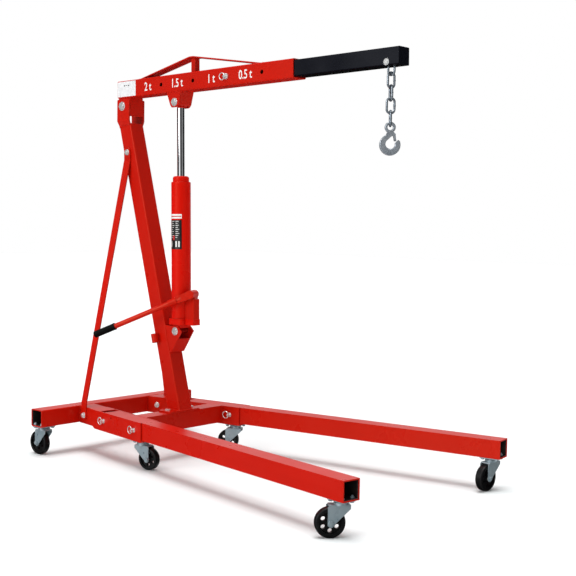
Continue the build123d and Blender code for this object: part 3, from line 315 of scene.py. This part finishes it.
# very dark steel for the tubes' open ends: partly unpainted wall, partly painted shade
dark_steel_and_shade = plated("dark_steel_painted_shade", (0.030, 0.026, 0.026), (0.055, 0.035, 0.028), (0.5, 0.7))
zinc = plated("bright_zinc", (0.31, 0.40, 0.45), (0.37, 0.44, 0.47), metallic=0.45)
bright = plated("polished_zinc", (0.82, 0.84, 0.85), (0.86, 0.84, 0.80), (0.16, 0.30))
frame_zinc = plated("polished_zinc_frame", (0.82, 0.84, 0.85), (0.86, 0.84, 0.80), (0.16, 0.30),
                    red_shaded_within=CHEEKS)
forged = plated("zinc_on_forging", (0.26, 0.31, 0.36), (0.34, 0.38, 0.42), (0.16, 0.30), 45, metallic=0.85)
hook_zinc = plated("zinc_on_hook", (0.34, 0.38, 0.43), (0.44, 0.47, 0.50), (0.22, 0.36), 45)
machined = plated("turned_steel", (0.42, 0.43, 0.45), (0.50, 0.49, 0.47), (0.22, 0.34), 200, (1, 1, 9))
rod_chrome = chrome("hard_chrome", RAM_EYE_Z)
wheel_black = moulded("wheel_polymer", (0.0035, 0.0035, 0.004), (0.018, 0.018, 0.018))
grip_black = moulded("grip_rubber", (0.0025, 0.0025, 0.0025), (0.010, 0.010, 0.010), (0.45, 0.62),
                     grain=1400, shine=0.10)
decal_white = printed("decal_white", (0.86, 0.86, 0.84), (0.76, 0.75, 0.72))
decal_grey = printed("decal_pale_grey", (0.80, 0.80, 0.81), (0.70, 0.70, 0.71))
decal_dark = printed("decal_charcoal", (0.004, 0.004, 0.005), (0.009, 0.009, 0.009))
decal_red = printed("decal_red", (0.55, 0.012, 0.010), (0.42, 0.012, 0.010))

BY_SLOT = {"red_paint": red, "black_paint": dark_paint, "zinc": zinc, "chrome_rod": rod_chrome,
           "wheel_black": wheel_black, "grip_black": grip_black, "steel": machined,
           "chain_steel": forged}
BY_NODE = {"leg_pins": bright, "frame_bolts": frame_zinc, "ram_top_bolt": bright, "hook_bolt": bright,
           "boom_lock_pin": bright, "hook": hook_zinc, "hook_latch": hook_zinc,
           "pump_body": red_cast, "pump_lever": red_cast, "gland_nut": red_ram, "ram_cylinder": red_ram}
for entry in frame["record"]["subparts"]:
    name = entry["node"]
    node = nodes[name]
    node.data.materials.clear()
    node.data.materials.append(BY_NODE.get(name, BY_SLOT[entry["material_slot"]]))


# ---------------------------------------------------------------- mesh helpers
def piece(name, mesh_or_bm, finish, body, smooth=True):
    """Make an object of a mesh, give it its finish and let it ride on a body."""
    mesh = mesh_or_bm
    if isinstance(mesh_or_bm, bmesh.types.BMesh):
        mesh = bpy.data.meshes.new(name)
        bmesh.ops.recalc_face_normals(mesh_or_bm, faces=mesh_or_bm.faces)
        mesh_or_bm.to_mesh(mesh)
        mesh_or_bm.free()
    if smooth:
        for polygon in mesh.polygons:
            polygon.use_smooth = True
    mesh.materials.append(finish)
    obj = bpy.data.objects.new(name, mesh)
    bpy.context.scene.collection.objects.link(obj)
    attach(obj, body)
    return obj


def skin(bm, rings, closed):
    """Join rings of vertices into a tube; an open tube gets end caps."""
    count = len(rings[0])
    pairs = list(zip(rings, rings[1:]))
    if closed:
        pairs.append((rings[-1], rings[0]))
    for first, second in pairs:
        for k in range(count):
            bm.faces.new((first[k], first[(k + 1) % count], second[(k + 1) % count], second[k]))
    if not closed:
        bm.faces.new(rings[0][::-1])
        bm.faces.new(rings[-1])


RIPPLE_STEPS = 4
BEAD_SIDES = 8


def bead(bm, corners, radius, closed=False, pitch=0.0034):
    """Weld bead along straight runs, with the overlapping ripples of a hand-made weld."""
    runs = list(zip(corners, corners[1:]))
    if closed:
        runs.append((corners[-1], corners[0]))
    line = []
    for start, end in runs:
        steps = max(3, round((end - start).length / pitch * RIPPLE_STEPS))
        line += [start.lerp(end, i / steps) for i in range(steps)]
    if not closed:
        line.append(corners[-1])
    count = len(line)
    rings = []
    for i, point in enumerate(line):
        before = line[i - 1] if closed or i else line[0]
        after = line[(i + 1) % count] if closed or i < count - 1 else line[-1]
        along = (after - before).normalized()
        across = along.cross(Vector((0.31, 0.17, 0.93))).normalized()    # no bead runs this way
        up = along.cross(across)
        phase = (i % RIPPLE_STEPS) / RIPPLE_STEPS
        size = radius * (0.82 + 0.22 * phase + 0.05 * math.sin(i * 1.7))
        if not closed and i in (0, count - 1):
            size *= 0.45
        rings.append([bm.verts.new(point + size * (math.cos(a) * across + math.sin(a) * up))
                      for a in [math.tau * k / BEAD_SIDES for k in range(BEAD_SIDES)]])
    skin(bm, rings, closed)


def weld(name, body, place, paths, radius=0.0026, closed=False):
    """One object of painted weld beads; each path is a list of points in place's own directions."""
    bm = bmesh.new()
    for path in paths:
        bead(bm, [place @ Vector(p) for p in path], radius, closed)
    return piece(name, bm, red_cast, body)


def lathe(bm, place, profile, steps=32):
    """Solid of revolution about place's z; profile holds (radius, height) from end to end."""
    rings = []
    for radius, height in profile:
        rings.append([bm.verts.new(place @ Vector((radius * math.cos(a), radius * math.sin(a), height)))
                      for a in [math.tau * k / steps for k in range(steps)]])
    skin(bm, rings, False)


def washer_profile(inner, outer, thick):
    """Outline of a washer with bevelled rims."""
    lip = 0.25 * thick
    return [(inner, 0), (outer - lip, 0), (outer, lip),
            (outer, thick - lip), (outer - lip, thick), (inner, thick)]


def sheet_patch(bm, place, outline, thick):
    """Flat decal: an outline in place's x and y, given a little thickness."""
    low = [bm.verts.new(place @ Vector((x, y, 0))) for x, y in outline]
    high = [bm.verts.new(place @ Vector((x, y, thick))) for x, y in outline]
    bm.faces.new(high)
    bm.faces.new(low[::-1])
    count = len(outline)
    for k in range(count):
        bm.faces.new((low[k], low[(k + 1) % count], high[(k + 1) % count], high[k]))


def round_box(x0, x1, y0, y1, radius, steps=5):
    """Outline of a rectangle with round corners."""
    points = []
    for cx, cy, start in ((x1 - radius, y1 - radius, 0), (x0 + radius, y1 - radius, 90),
                          (x0 + radius, y0 + radius, 180), (x1 - radius, y0 + radius, 270)):
        for k in range(steps + 1):
            a = math.radians(start + 90 * k / steps)
            points.append((cx + radius * math.cos(a), cy + radius * math.sin(a)))
    return points


def wrapped_patch(bm, start, end, low, high, radius, thick=0.00018):
    """Decal wrapped on the ram: heading range in degrees about the ram, heights along it."""
    steps = max(2, round((end - start) / 4))
    rings = []
    for k in range(steps + 1):
        a = math.radians(start + (end - start) * k / steps)
        ring = []
        for r, v in ((radius, low), (radius + thick, low), (radius + thick, high), (radius, high)):
            ring.append(bm.verts.new(RAM @ Vector((r * math.cos(a), v, -r * math.sin(a)))))
        rings.append(ring)
    skin(bm, rings, False)


# ---------------------------------------------------------------- weld beads
def both_sides(start, end, distance):
    """Straight beads from start to end, on both sides of the place's own plane."""
    return [[(*start, side * distance), (*end, side * distance)] for side in (-1, 1)]


def crosswise(x, y, distance):
    """A straight bead across the place's own plane at x and y."""
    return [[(x, y, -distance), (x, y, distance)]]


def weld_mast_foot():
    """All round the mast on its foot plate."""
    rear, front = -0.0333, 0.0413
    side, height = HALF + 0.0005, MAST_FOOT[1] + 0.0005
    weld("weld_mast_foot", "base_frame", Matrix.Identity(4),
         [[(rear, -side, height), (front, -side, height), (front, side, height), (rear, side, height)]],
         0.0034, closed=True)


def weld_base(side, word):
    """Side rail to cross member and rear beam, and the leg bracket's rear corners."""
    world = Matrix.Identity(4)
    reach = TRACK - 0.040 / math.cos(SPLAY)
    rear = BEAM_X + HALF
    centre = TRACK + rear / math.cos(SPLAY) * math.sin(SPLAY)
    paths = []
    for x in (-HALF - 0.0005, HALF + 0.0005):
        y = side * (reach + x * math.tan(SPLAY) - 0.0005)
        paths.append([(x, y, BASE_LOW + 0.002), (x, y, BASE_TOP - 0.002)])
    for out in (-1, 1):
        y = side * (centre + out * 0.0358)
        paths.append([(rear + 0.001, y, BASE_LOW + 0.005), (rear + 0.001, y, BASE_TOP - 0.004)])
    paths.append([(rear - 0.001, side * (centre + out * 0.033), BASE_TOP - 0.001) for out in (-1, 1)])
    weld(f"weld_base_{word}", "base_frame", world, paths)
    weld(f"weld_bracket_{word}", "base_frame", leg_frame(side, 0),
         both_sides((BRACKET_END, 0.137), (BRACKET_END, BASE_TOP - 0.001), 0.0362), 0.0022)


def weld_mast():
    """The ram's clevis, the head and the handle holder on the mast."""
    weld("weld_ram_clevis", "base_frame", MAST,
         both_sides((0.0352, 0.236), (0.0352, 0.334), 0.0348) + crosswise(0.0358, 0.2315, 0.031))
    weld("weld_mast_head", "base_frame", MAST,
         both_sides((-0.0330, MAST_TOP), (0.0330, MAST_TOP), 0.0350), 0.0022)
    face = HALF + 0.0015
    weld("weld_handle_holder", "base_frame", MAST,
         [[(-0.022 + out * 0.0095, 0.284, face), (-0.022 + out * 0.0095, 0.316, face)] for out in (-1, 1)],
         0.0020)


def weld_boom():
    """The truss post and strap on top of the boom, the pivot lug and the ram's bracket under it."""
    rear, front = BOOM_POST
    weld("weld_boom_post", "boom", BOOM,
         [[(rear, BOOM_TOP, -0.0125), (front, BOOM_TOP, -0.0125),
           (front, BOOM_TOP, 0.0125), (rear, BOOM_TOP, 0.0125)]], 0.0024, closed=True)
    weld("weld_boom_strap", "boom", BOOM,
         crosswise(STRAP[0], BOOM_TOP + 0.0008, 0.023) + crosswise(STRAP[1], BOOM_TOP + 0.0008, 0.023)
         + crosswise(rear + 0.0005, POST_TOP, 0.012) + crosswise(front - 0.0005, POST_TOP, 0.012))
    low = BOOM_LOW - 0.0005
    weld("weld_boom_lug", "boom", BOOM,
         both_sides((-0.029, low), (0.042, low), 0.0335) + crosswise(0.0435, low, 0.031), 0.0022)
    weld("weld_ram_bracket", "boom", BOOM,
         both_sides((0.269, BOOM_LOW + 0.0005), (0.350, BOOM_LOW + 0.0005), 0.0345)
         + crosswise(0.3515, low, 0.031), 0.0024)


def weld_ram():
    """Arc between the cylinder and its base, open where the pump's body stands."""
    radius = RAM_R + 0.0005
    arc = [math.radians(32 + 296 * k / 40) for k in range(41)]
    path = [(radius * math.cos(a), 0.0505, -radius * math.sin(a)) for a in arc]
    weld("weld_ram_base", "ram", RAM, [path], 0.0022)


weld_mast_foot()
weld_base(-1, "right")
weld_base(1, "left")
weld_mast()
weld_boom()
weld_ram()


# ---------------------------------------------------------------- dark insides of the open tubes, partly unpainted steel and partly painted shade
def liner(name, body, place, low, high, width):
    """Inside of a tube's open end: a thin-walled square sleeve along place's x, in a very dark steel that is
    partly the unpainted wall and partly painted shade.
    """
    bm = bmesh.new()
    rings = []
    for x, inset in ((low, 0.0004), (high, 0.0004), (high, 0.0010), (low, 0.0010)):
        w = width / 2 - inset
        corners = ((w, w), (-w, w), (-w, -w), (w, -w))
        rings.append([bm.verts.new(place @ Vector((x, y, z))) for y, z in corners])
    for first, second in zip(rings, rings[1:] + rings[:1]):
        for k in range(4):
            bm.faces.new((first[k], first[(k + 1) % 4], second[(k + 1) % 4], second[k]))
    return piece(name, bm, dark_steel_and_shade, body, smooth=False)


TUBE_INSIDE = 0.062
LEG_INSIDE = 0.060
for side, word in ((-1, "right"), (1, "left")):
    across = frame_from(Vector((BEAM_X, 0, BASE_LOW + HALF)), (0, side, 0), (1, 0, 0))
    liner(f"beam_liner_{word}", "base_frame", across, BEAM_HALF_LENGTH - 0.20, BEAM_HALF_LENGTH - 0.003,
          TUBE_INSIDE)
    liner(f"leg_liner_{word}", f"leg_{word}", leg_frame(side, LEG_TUBE_Z), LEG_END - 0.24, LEG_END - 0.003,
          LEG_INSIDE)
middle = BOOM @ Matrix.Translation((0, BOOM_MID, 0))
liner("boom_liner", "boom", middle, BOOM_REAR + 0.003, 0.17, TUBE_INSIDE)


# ---------------------------------------------------------------- load marks and labels
MARKS = (("2", 0.100), ("1.5", 0.118), ("1", 0.096), ("0.5", 0.118))   # figure, start behind its hole
MARK_HEIGHT = 0.033
NARROW = 0.80               # the marks are condensed to this


def flat_text(text):
    """Outline of a word as a mesh in x and y, starting at x = 0, and its width."""
    curve = bpy.data.curves.new("word", "FONT")
    curve.body = text
    curve.size = MARK_HEIGHT / 0.70
    curve.offset = 0.0006
    curve.extrude = 0.00012
    curve.resolution_u = 6
    holder = bpy.data.objects.new("word", curve)
    mesh = bpy.data.meshes.new_from_object(holder)
    bpy.data.objects.remove(holder)
    start = min(v.co.x for v in mesh.vertices)
    for v in mesh.vertices:
        v.co.x = (v.co.x - start) * NARROW
    return mesh, max(v.co.x for v in mesh.vertices)


def load_marks(face, out):
    """A figure with a t behind each load hole, on one side of the boom."""
    for (mark, behind), hole in zip(MARKS, LOAD_HOLES):
        mesh, width = flat_text(f"{mark} t")
        start = hole - behind if out > 0 else hole - behind + width
        for v in mesh.vertices:
            v.co = BOOM @ Vector((start + out * v.co.x, BOOM_MID - MARK_HEIGHT / 2 + v.co.y,
                                  out * (HALF + 0.00015 + v.co.z)))
        piece(f"mark_{mark.replace('.', '_')}_{face}", mesh, decal_white, "boom", smooth=False)


def rear_label(face, out):
    """Pale label with three short bars, on one side of the boom's rear end."""
    plane = BOOM @ Matrix.Translation((0, 0, out * HALF)) @ Matrix.Diagonal((1, 1, out, 1))
    bm = bmesh.new()
    outline = round_box(BOOM_REAR + 0.001, 0.078, BOOM_LOW + 0.004, BOOM_TOP - 0.004, 0.003)
    sheet_patch(bm, plane, outline, DECAL)
    piece(f"rear_label_{face}", bm, decal_grey, "boom", smooth=False)
    bm = bmesh.new()
    for start, end in ((0.004, 0.014), (0.019, 0.024), (0.029, 0.038)):
        sheet_patch(bm, plane @ Matrix.Translation((0, 0, DECAL)),
                    round_box(start, end, 0.0825, 0.0865, 0.0008, 3), DECAL / 2)
    piece(f"rear_label_bars_{face}", bm, decal_dark, "boom", smooth=False)


def ram_print(name, finish, patches, on_label=True):
    """One colour of the ram's labels; a patch is two headings in degrees and two heights."""
    bm = bmesh.new()
    for patch in patches:
        if on_label:
            wrapped_patch(bm, *patch, RAM_R + DECAL, DECAL / 2)
        else:
            wrapped_patch(bm, *patch, RAM_R)
    piece(name, bm, finish, "ram", smooth=False)


def printed_lines():
    """Three columns of short dashes in place of text, over four tall bars."""
    lines = []
    for row in range(9):
        height = 0.4410 - row * 0.0080
        for column, left in enumerate((-137, -108, -77)):
            length = 11 + (row * 7 + column * 11) % 13
            lines.append((left, left + length, height - 0.0018, height))
    return lines + [(left, left + 9, 0.338, 0.361) for left in (-136, -118, -78, -60)]


for face, out in (("right", 1), ("left", -1)):
    load_marks(face, out)
for face, out in (("right", 1), ("left", -1)):
    rear_label(face, out)
ram_print("ram_strip", decal_white, [(-143, -39, 0.451, 0.469)], on_label=False)
ram_print("ram_label", decal_dark, [(-143, -39, 0.329, 0.4455)], on_label=False)
ram_print("ram_label_red", decal_red, [(-140, -42, 0.458, 0.462), (-100, -84, 0.366, 0.384)])
ram_print("ram_label_lines", decal_white, printed_lines())


# ---------------------------------------------------------------- small hardware
def turned(place, height, out=1):
    """Place for a turned part at a height on place's z, its own z pointing outward."""
    return place @ Matrix.Translation((0, 0, height)) @ Matrix.Diagonal((1, 1, out, 1))


def washers(name, body, places, inner, outer, thick):
    """Washers at several places, as one object."""
    bm = bmesh.new()
    for place in places:
        lathe(bm, place, washer_profile(inner, outer, thick), 36)
    piece(name, bm, bright, body, smooth=False)


def thread_profile(radius, length, pitch=0.0016):
    """Outline of a bolt's end with its thread's crests."""
    root, crest = radius * 0.93, radius * 1.01
    profile = [(root, 0)]
    turns = int(length / pitch)
    for i in range(turns):
        profile += [(crest, (i + 0.3) * pitch), (crest, (i + 0.5) * pitch), (root, (i + 0.9) * pitch)]
    profile.append((radius * 0.80, turns * pitch + 0.0006))
    return profile


def thread(name, body, place, radius, length=0.0030):
    """The end of a bolt that stands out of its nut."""
    bm = bmesh.new()
    lathe(bm, place, thread_profile(radius, length), 28)
    piece(name, bm, bright, body, smooth=False)


def on_boom(bolt):
    """Place on the boom's centre plane, given along and above its pivot line."""
    return BOOM @ Matrix.Translation((*bolt, 0))


# face and nut_end: distance of the washer's inner face and the nut's outer face from the centre plane
Bolt = namedtuple("Bolt", "name body place radius washer_r washer_t face nut_end")
BOLTS = (Bolt("boom_pivot", "base_frame", side_frame(boom_pivot.x, boom_pivot.z, 0),
              0.009, 0.0185, 0.0018, 0.042, 0.0475),
         Bolt("ram_foot", "base_frame", side_frame(RAM_FOOT.x, RAM_FOOT.z, 0),
              0.008, 0.0165, 0.0016, HALF, 0.0405),
         Bolt("stay_top", "base_frame", side_frame(*STAY_TOP, 0), 0.006, 0.0125, 0.0014, 0.040, 0.0455),
         Bolt("ram_top", "boom", on_boom(RAM_BOLT), 0.008, 0.0165, 0.0016, HALF, 0.0405))
for bolt in BOLTS:
    washers(f"washers_{bolt.name}", bolt.body, [turned(bolt.place, s * bolt.face, s) for s in (-1, 1)],
            bolt.radius, bolt.washer_r, bolt.washer_t)
washers("washers_hook_bolt", "extension", [turned(on_boom(HOOK_BOLT), s * 0.030, s) for s in (-1, 1)],
        0.006, 0.0115, 0.0012)
for side, word in ((-1, "right"), (1, "left")):
    foot = leg_frame(side, STAY_Z) @ Matrix.Translation((STAY_FOOT, 0, 0))
    faces = {side: HALF, -side: HALF + STAY_T}      # the stay is under the outer washer
    washers(f"washers_stay_foot_{word}", "base_frame", [turned(foot, s * faces[s], s) for s in (-1, 1)],
            0.006, 0.0125, 0.0014)
for bolt in BOLTS:
    thread(f"thread_{bolt.name}", bolt.body, turned(bolt.place, -bolt.nut_end, -1), bolt.radius)


def link_seam(index, turn):
    """Weld seam on the straight side of a chain link."""
    hang = Vector(joints["link_swing_1"]["pos_m"])
    height = hang.z + LINK_MIDDLE - LINK_PITCH * index
    a = math.radians(turn)
    bm = bmesh.new()
    lathe(bm, Matrix.Translation((hang.x + LINK_SIDE * math.cos(a), LINK_SIDE * math.sin(a), height)),
          [(0.0038, -0.0034), (0.0043, -0.0022), (0.0047, -0.0008),
           (0.0047, 0.0006), (0.0043, 0.0022), (0.0038, 0.0034)], 20)
    piece(f"link_seam_{index + 1}", bm, forged, f"chain_link_{index + 1}")


for index, turn in enumerate(LINK_TURNS):
    link_seam(index, turn)


def wheel_trim(where):
    """Bearing covers and a moulded rib ring on both sides of a wheel."""
    roll = joints[f"roll_{where}"]
    radius = WHEEL_R[where.split("_")[0]]
    hub = frame_from(Vector(roll["pos_m"]), (0, 0, 1), Vector(roll["axis"]))
    bm = bmesh.new()
    for out in (-1, 1):
        cover = turned(hub, out * (WHEEL_FACE + 0.0001), out)
        lathe(bm, cover, washer_profile(0.0052, 0.0088, 0.0012), 28)
    piece(f"hub_cover_{where}", bm, bright, f"wheel_{where}", smooth=False)
    bm = bmesh.new()
    steps = 64
    rib = ((radius * 0.745, WHEEL_FACE), (radius * 0.765, WHEEL_FACE + 0.001), (radius * 0.79, WHEEL_FACE))
    for out in (-1, 1):
        rows = []
        for k in range(steps):
            a = math.tau * k / steps
            points = [hub @ Vector((r * math.cos(a), r * math.sin(a), out * h)) for r, h in rib]
            rows.append([bm.verts.new(point) for point in points])
        for first, second in zip(rows, rows[1:] + rows[:1]):
            for k in range(3):
                bm.faces.new((first[k], first[(k + 1) % 3], second[(k + 1) % 3], second[k]))
    piece(f"rim_ring_{where}", bm, wheel_black, f"wheel_{where}")


for node_name in nodes:
    if node_name.startswith("caster_wheel_"):
        wheel_trim(node_name.removeprefix("caster_wheel_"))


def ribbed_grip():
    """Rubber grip with ribs, in place of the plain solid."""
    pump = joints["pump_stroke"]
    shaft = -Vector(pump["axis"])
    yaw, drop = HANDLE_HEADING, HANDLE_DROP
    arm = Vector((-math.cos(yaw) * math.cos(drop), -math.sin(yaw) * math.cos(drop), -math.sin(drop)))
    start = Vector(pump["pos_m"]) + shaft * 0.0285 + arm * (HANDLE_LENGTH - GRIP_LENGTH)
    profile = [(0.0107, 0.0), (0.0135, 0.0), (0.0145, 0.0012), (0.0145, 0.0050), (0.0130, 0.0068)]
    groove, rib, pitch = 0.0128, 0.0140, 0.0051
    for i in range(16):
        base = 0.0085 + i * pitch
        profile += [(groove, base), (rib, base + 0.0011), (rib, base + 0.0031), (groove, base + 0.0042)]
    end = GRIP_LENGTH
    profile += [(0.0142, end - 0.0075), (0.0142, end - 0.0035), (0.0125, end - 0.0010), (0.0080, end),
                (0.0004, end)]
    bm = bmesh.new()
    lathe(bm, frame_from(start, shaft, arm), profile, 48)
    return piece("ribbed_grip", bm, grip_black, "pump_lever", smooth=False)


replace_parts(ribbed_grip(), "handle_grip")


# ---------------------------------------------------------------- floor, light, camera
def look_at(obj, position, target):
    """Put a light at a position and point it at a target."""
    obj.location = position
    obj.rotation_euler = (Vector(target) - Vector(position)).to_track_quat("-Z", "Y").to_euler()


def studio_floor():
    """Plain pale floor. Glossy surfaces don't mirror it: they see the studio's low panels."""
    f = Finish("studio_floor", Specular_IOR_Level=0.2)
    tone = f.blend(f.remap(f.noise(0.8, 3), 0.3, 0.7, 0, 1), (0.83, 0.86, 0.86), (0.81, 0.84, 0.845))
    bm = bmesh.new()
    bmesh.ops.create_grid(bm, x_segments=8, y_segments=8, size=20)
    mesh = bpy.data.meshes.new("floor")
    bm.to_mesh(mesh)
    bm.free()
    mesh.materials.append(f.finish(tone, f.remap(f.noise(6, 4), 0.3, 0.7, 0.55, 0.7)))
    floor = bpy.data.objects.new("floor", mesh)
    bpy.context.scene.collection.objects.link(floor)
    floor.visible_glossy = False
    return floor


studio_floor()


def soft_sun(name, direction, strength, spread):
    """Sun lamp shining in a direction, as wide as its spread in degrees."""
    light = bpy.data.lights.new(name, "SUN")
    light.energy = strength
    light.angle = math.radians(spread)
    obj = bpy.data.objects.new(name, light)
    bpy.context.scene.collection.objects.link(obj)
    look_at(obj, (0, 0, 3), Vector((0, 0, 3)) + Vector(direction))


soft_sun("overhead", (0.03, 0.05, -1), 2.6, 40)
soft_sun("key", (0.25, 1, -0.35), 1.2, 30)

# heading in degrees and brightness, for mirrored rays that go up and for those that go level or down
HIGH_PANELS = ((-180, 0.10), (-140, 0.10), (-124, 0.60), (-84, 1.10), (-80, 0.20), (-66, 0.20), (-62, 0.55),
               (-10, 0.50), (-4, 0.05), (104, 0.05), (108, 0.85), (156, 0.85), (160, 0.10))
LOW_PANELS = ((-180, 0.01), (-110, 0.01), (-104, 1.05), (-65, 1.05), (-60, 0.01), (-21, 0.01), (-16, 0.30),
              (16, 0.30), (21, 0.01), (82, 0.01), (86, 0.70), (104, 0.70), (108, 0.01), (180, 0.01))
PANEL_SPLIT = (0.135, 0.155)    # a ray's own z where the low panels give way to the high ones
AMBIENT = 0.50


class Studio:
    """World of the studio: white to the camera, dim to diffuse rays, panels to glossy rays."""

    def __init__(self):
        self.world = bpy.data.worlds.new("studio")
        self.world.use_nodes = True
        self.tree = self.world.node_tree
        self.tree.nodes.clear()
        direction = self.add("ShaderNodeTexCoord").outputs["Generated"]
        self.split = self.add("ShaderNodeSeparateXYZ", {0: direction})
        heading = self.add("ShaderNodeMath", {0: self.split.outputs["Y"], 1: self.split.outputs["X"]})
        heading.operation = "ARCTAN2"
        self.turn = self.range_of(heading.outputs[0], -math.pi, math.pi)

    def add(self, kind, plugs=None):
        """A new node; plugs says which output goes into which of its inputs."""
        node = self.tree.nodes.new(kind)
        for socket, output in (plugs or {}).items():
            self.tree.links.new(output, node.inputs[socket])
        return node

    def range_of(self, value, low, high):
        """0 at low and 1 at high."""
        node = self.add("ShaderNodeMapRange", {"Value": value})
        node.inputs["From Min"].default_value = low
        node.inputs["From Max"].default_value = high
        return node.outputs[0]

    def panels(self, stops):
        """Brightness by heading."""
        node = self.add("ShaderNodeValToRGB", {0: self.turn})
        elements = node.color_ramp.elements
        while len(elements) < len(stops):
            elements.new(0.5)
        for element, (angle, level) in zip(elements, stops):
            element.position = (angle + 180) / 360
            element.color = (level, level, level, 1)
        return node.outputs["Color"]

    def glow(self, strength):
        """A plain white background."""
        node = self.add("ShaderNodeBackground")
        node.inputs["Color"].default_value = (1, 1, 1, 1)
        node.inputs["Strength"].default_value = strength
        return node.outputs[0]

    def light_up(self):
        """Mix what each kind of ray sees, and use it as the scene's world."""
        lift = self.range_of(self.split.outputs["Z"], *PANEL_SPLIT)
        surround = self.add("ShaderNodeMixRGB", {"Fac": lift, "Color1": self.panels(LOW_PANELS),
                                                 "Color2": self.panels(HIGH_PANELS)})
        mirrored = self.add("ShaderNodeBackground", {"Color": surround.outputs[0]})
        rays = self.add("ShaderNodeLightPath")
        lit = self.add("ShaderNodeMixShader", {0: rays.outputs["Is Glossy Ray"], 1: self.glow(AMBIENT),
                                               2: mirrored.outputs[0]})
        seen = self.add("ShaderNodeMixShader", {0: rays.outputs["Is Camera Ray"], 1: lit.outputs[0],
                                                2: self.glow(1.0)})
        self.add("ShaderNodeOutputWorld", {"Surface": seen.outputs[0]})
        bpy.context.scene.world = self.world


Studio().light_up()


def place_camera():
    """The camera that took the photo, solved from the tubes' edges and the wheels' contact points."""
    place = Vector((3.2969, -3.035, 0.9671))
    azimuth, elevation, roll = (math.radians(a) for a in (41.82, 3.53, 0.90))
    level = math.cos(elevation)
    back = Vector((math.sin(azimuth) * level, -math.cos(azimuth) * level, math.sin(elevation)))
    right = Vector((math.cos(azimuth), math.sin(azimuth), 0))
    up = back.cross(right)
    right = math.cos(roll) * right + math.sin(roll) * up
    data = bpy.data.cameras.new("camera")
    data.lens = 69.29
    data.sensor_width = 36
    camera = bpy.data.objects.new("camera", data)
    camera.matrix_world = frame_from(place, right, back)
    bpy.context.scene.collection.objects.link(camera)
    bpy.context.scene.camera = camera


place_camera()
bpy.context.scene.view_settings.view_transform = "Standard"
bpy.context.scene.view_settings.look = "None"
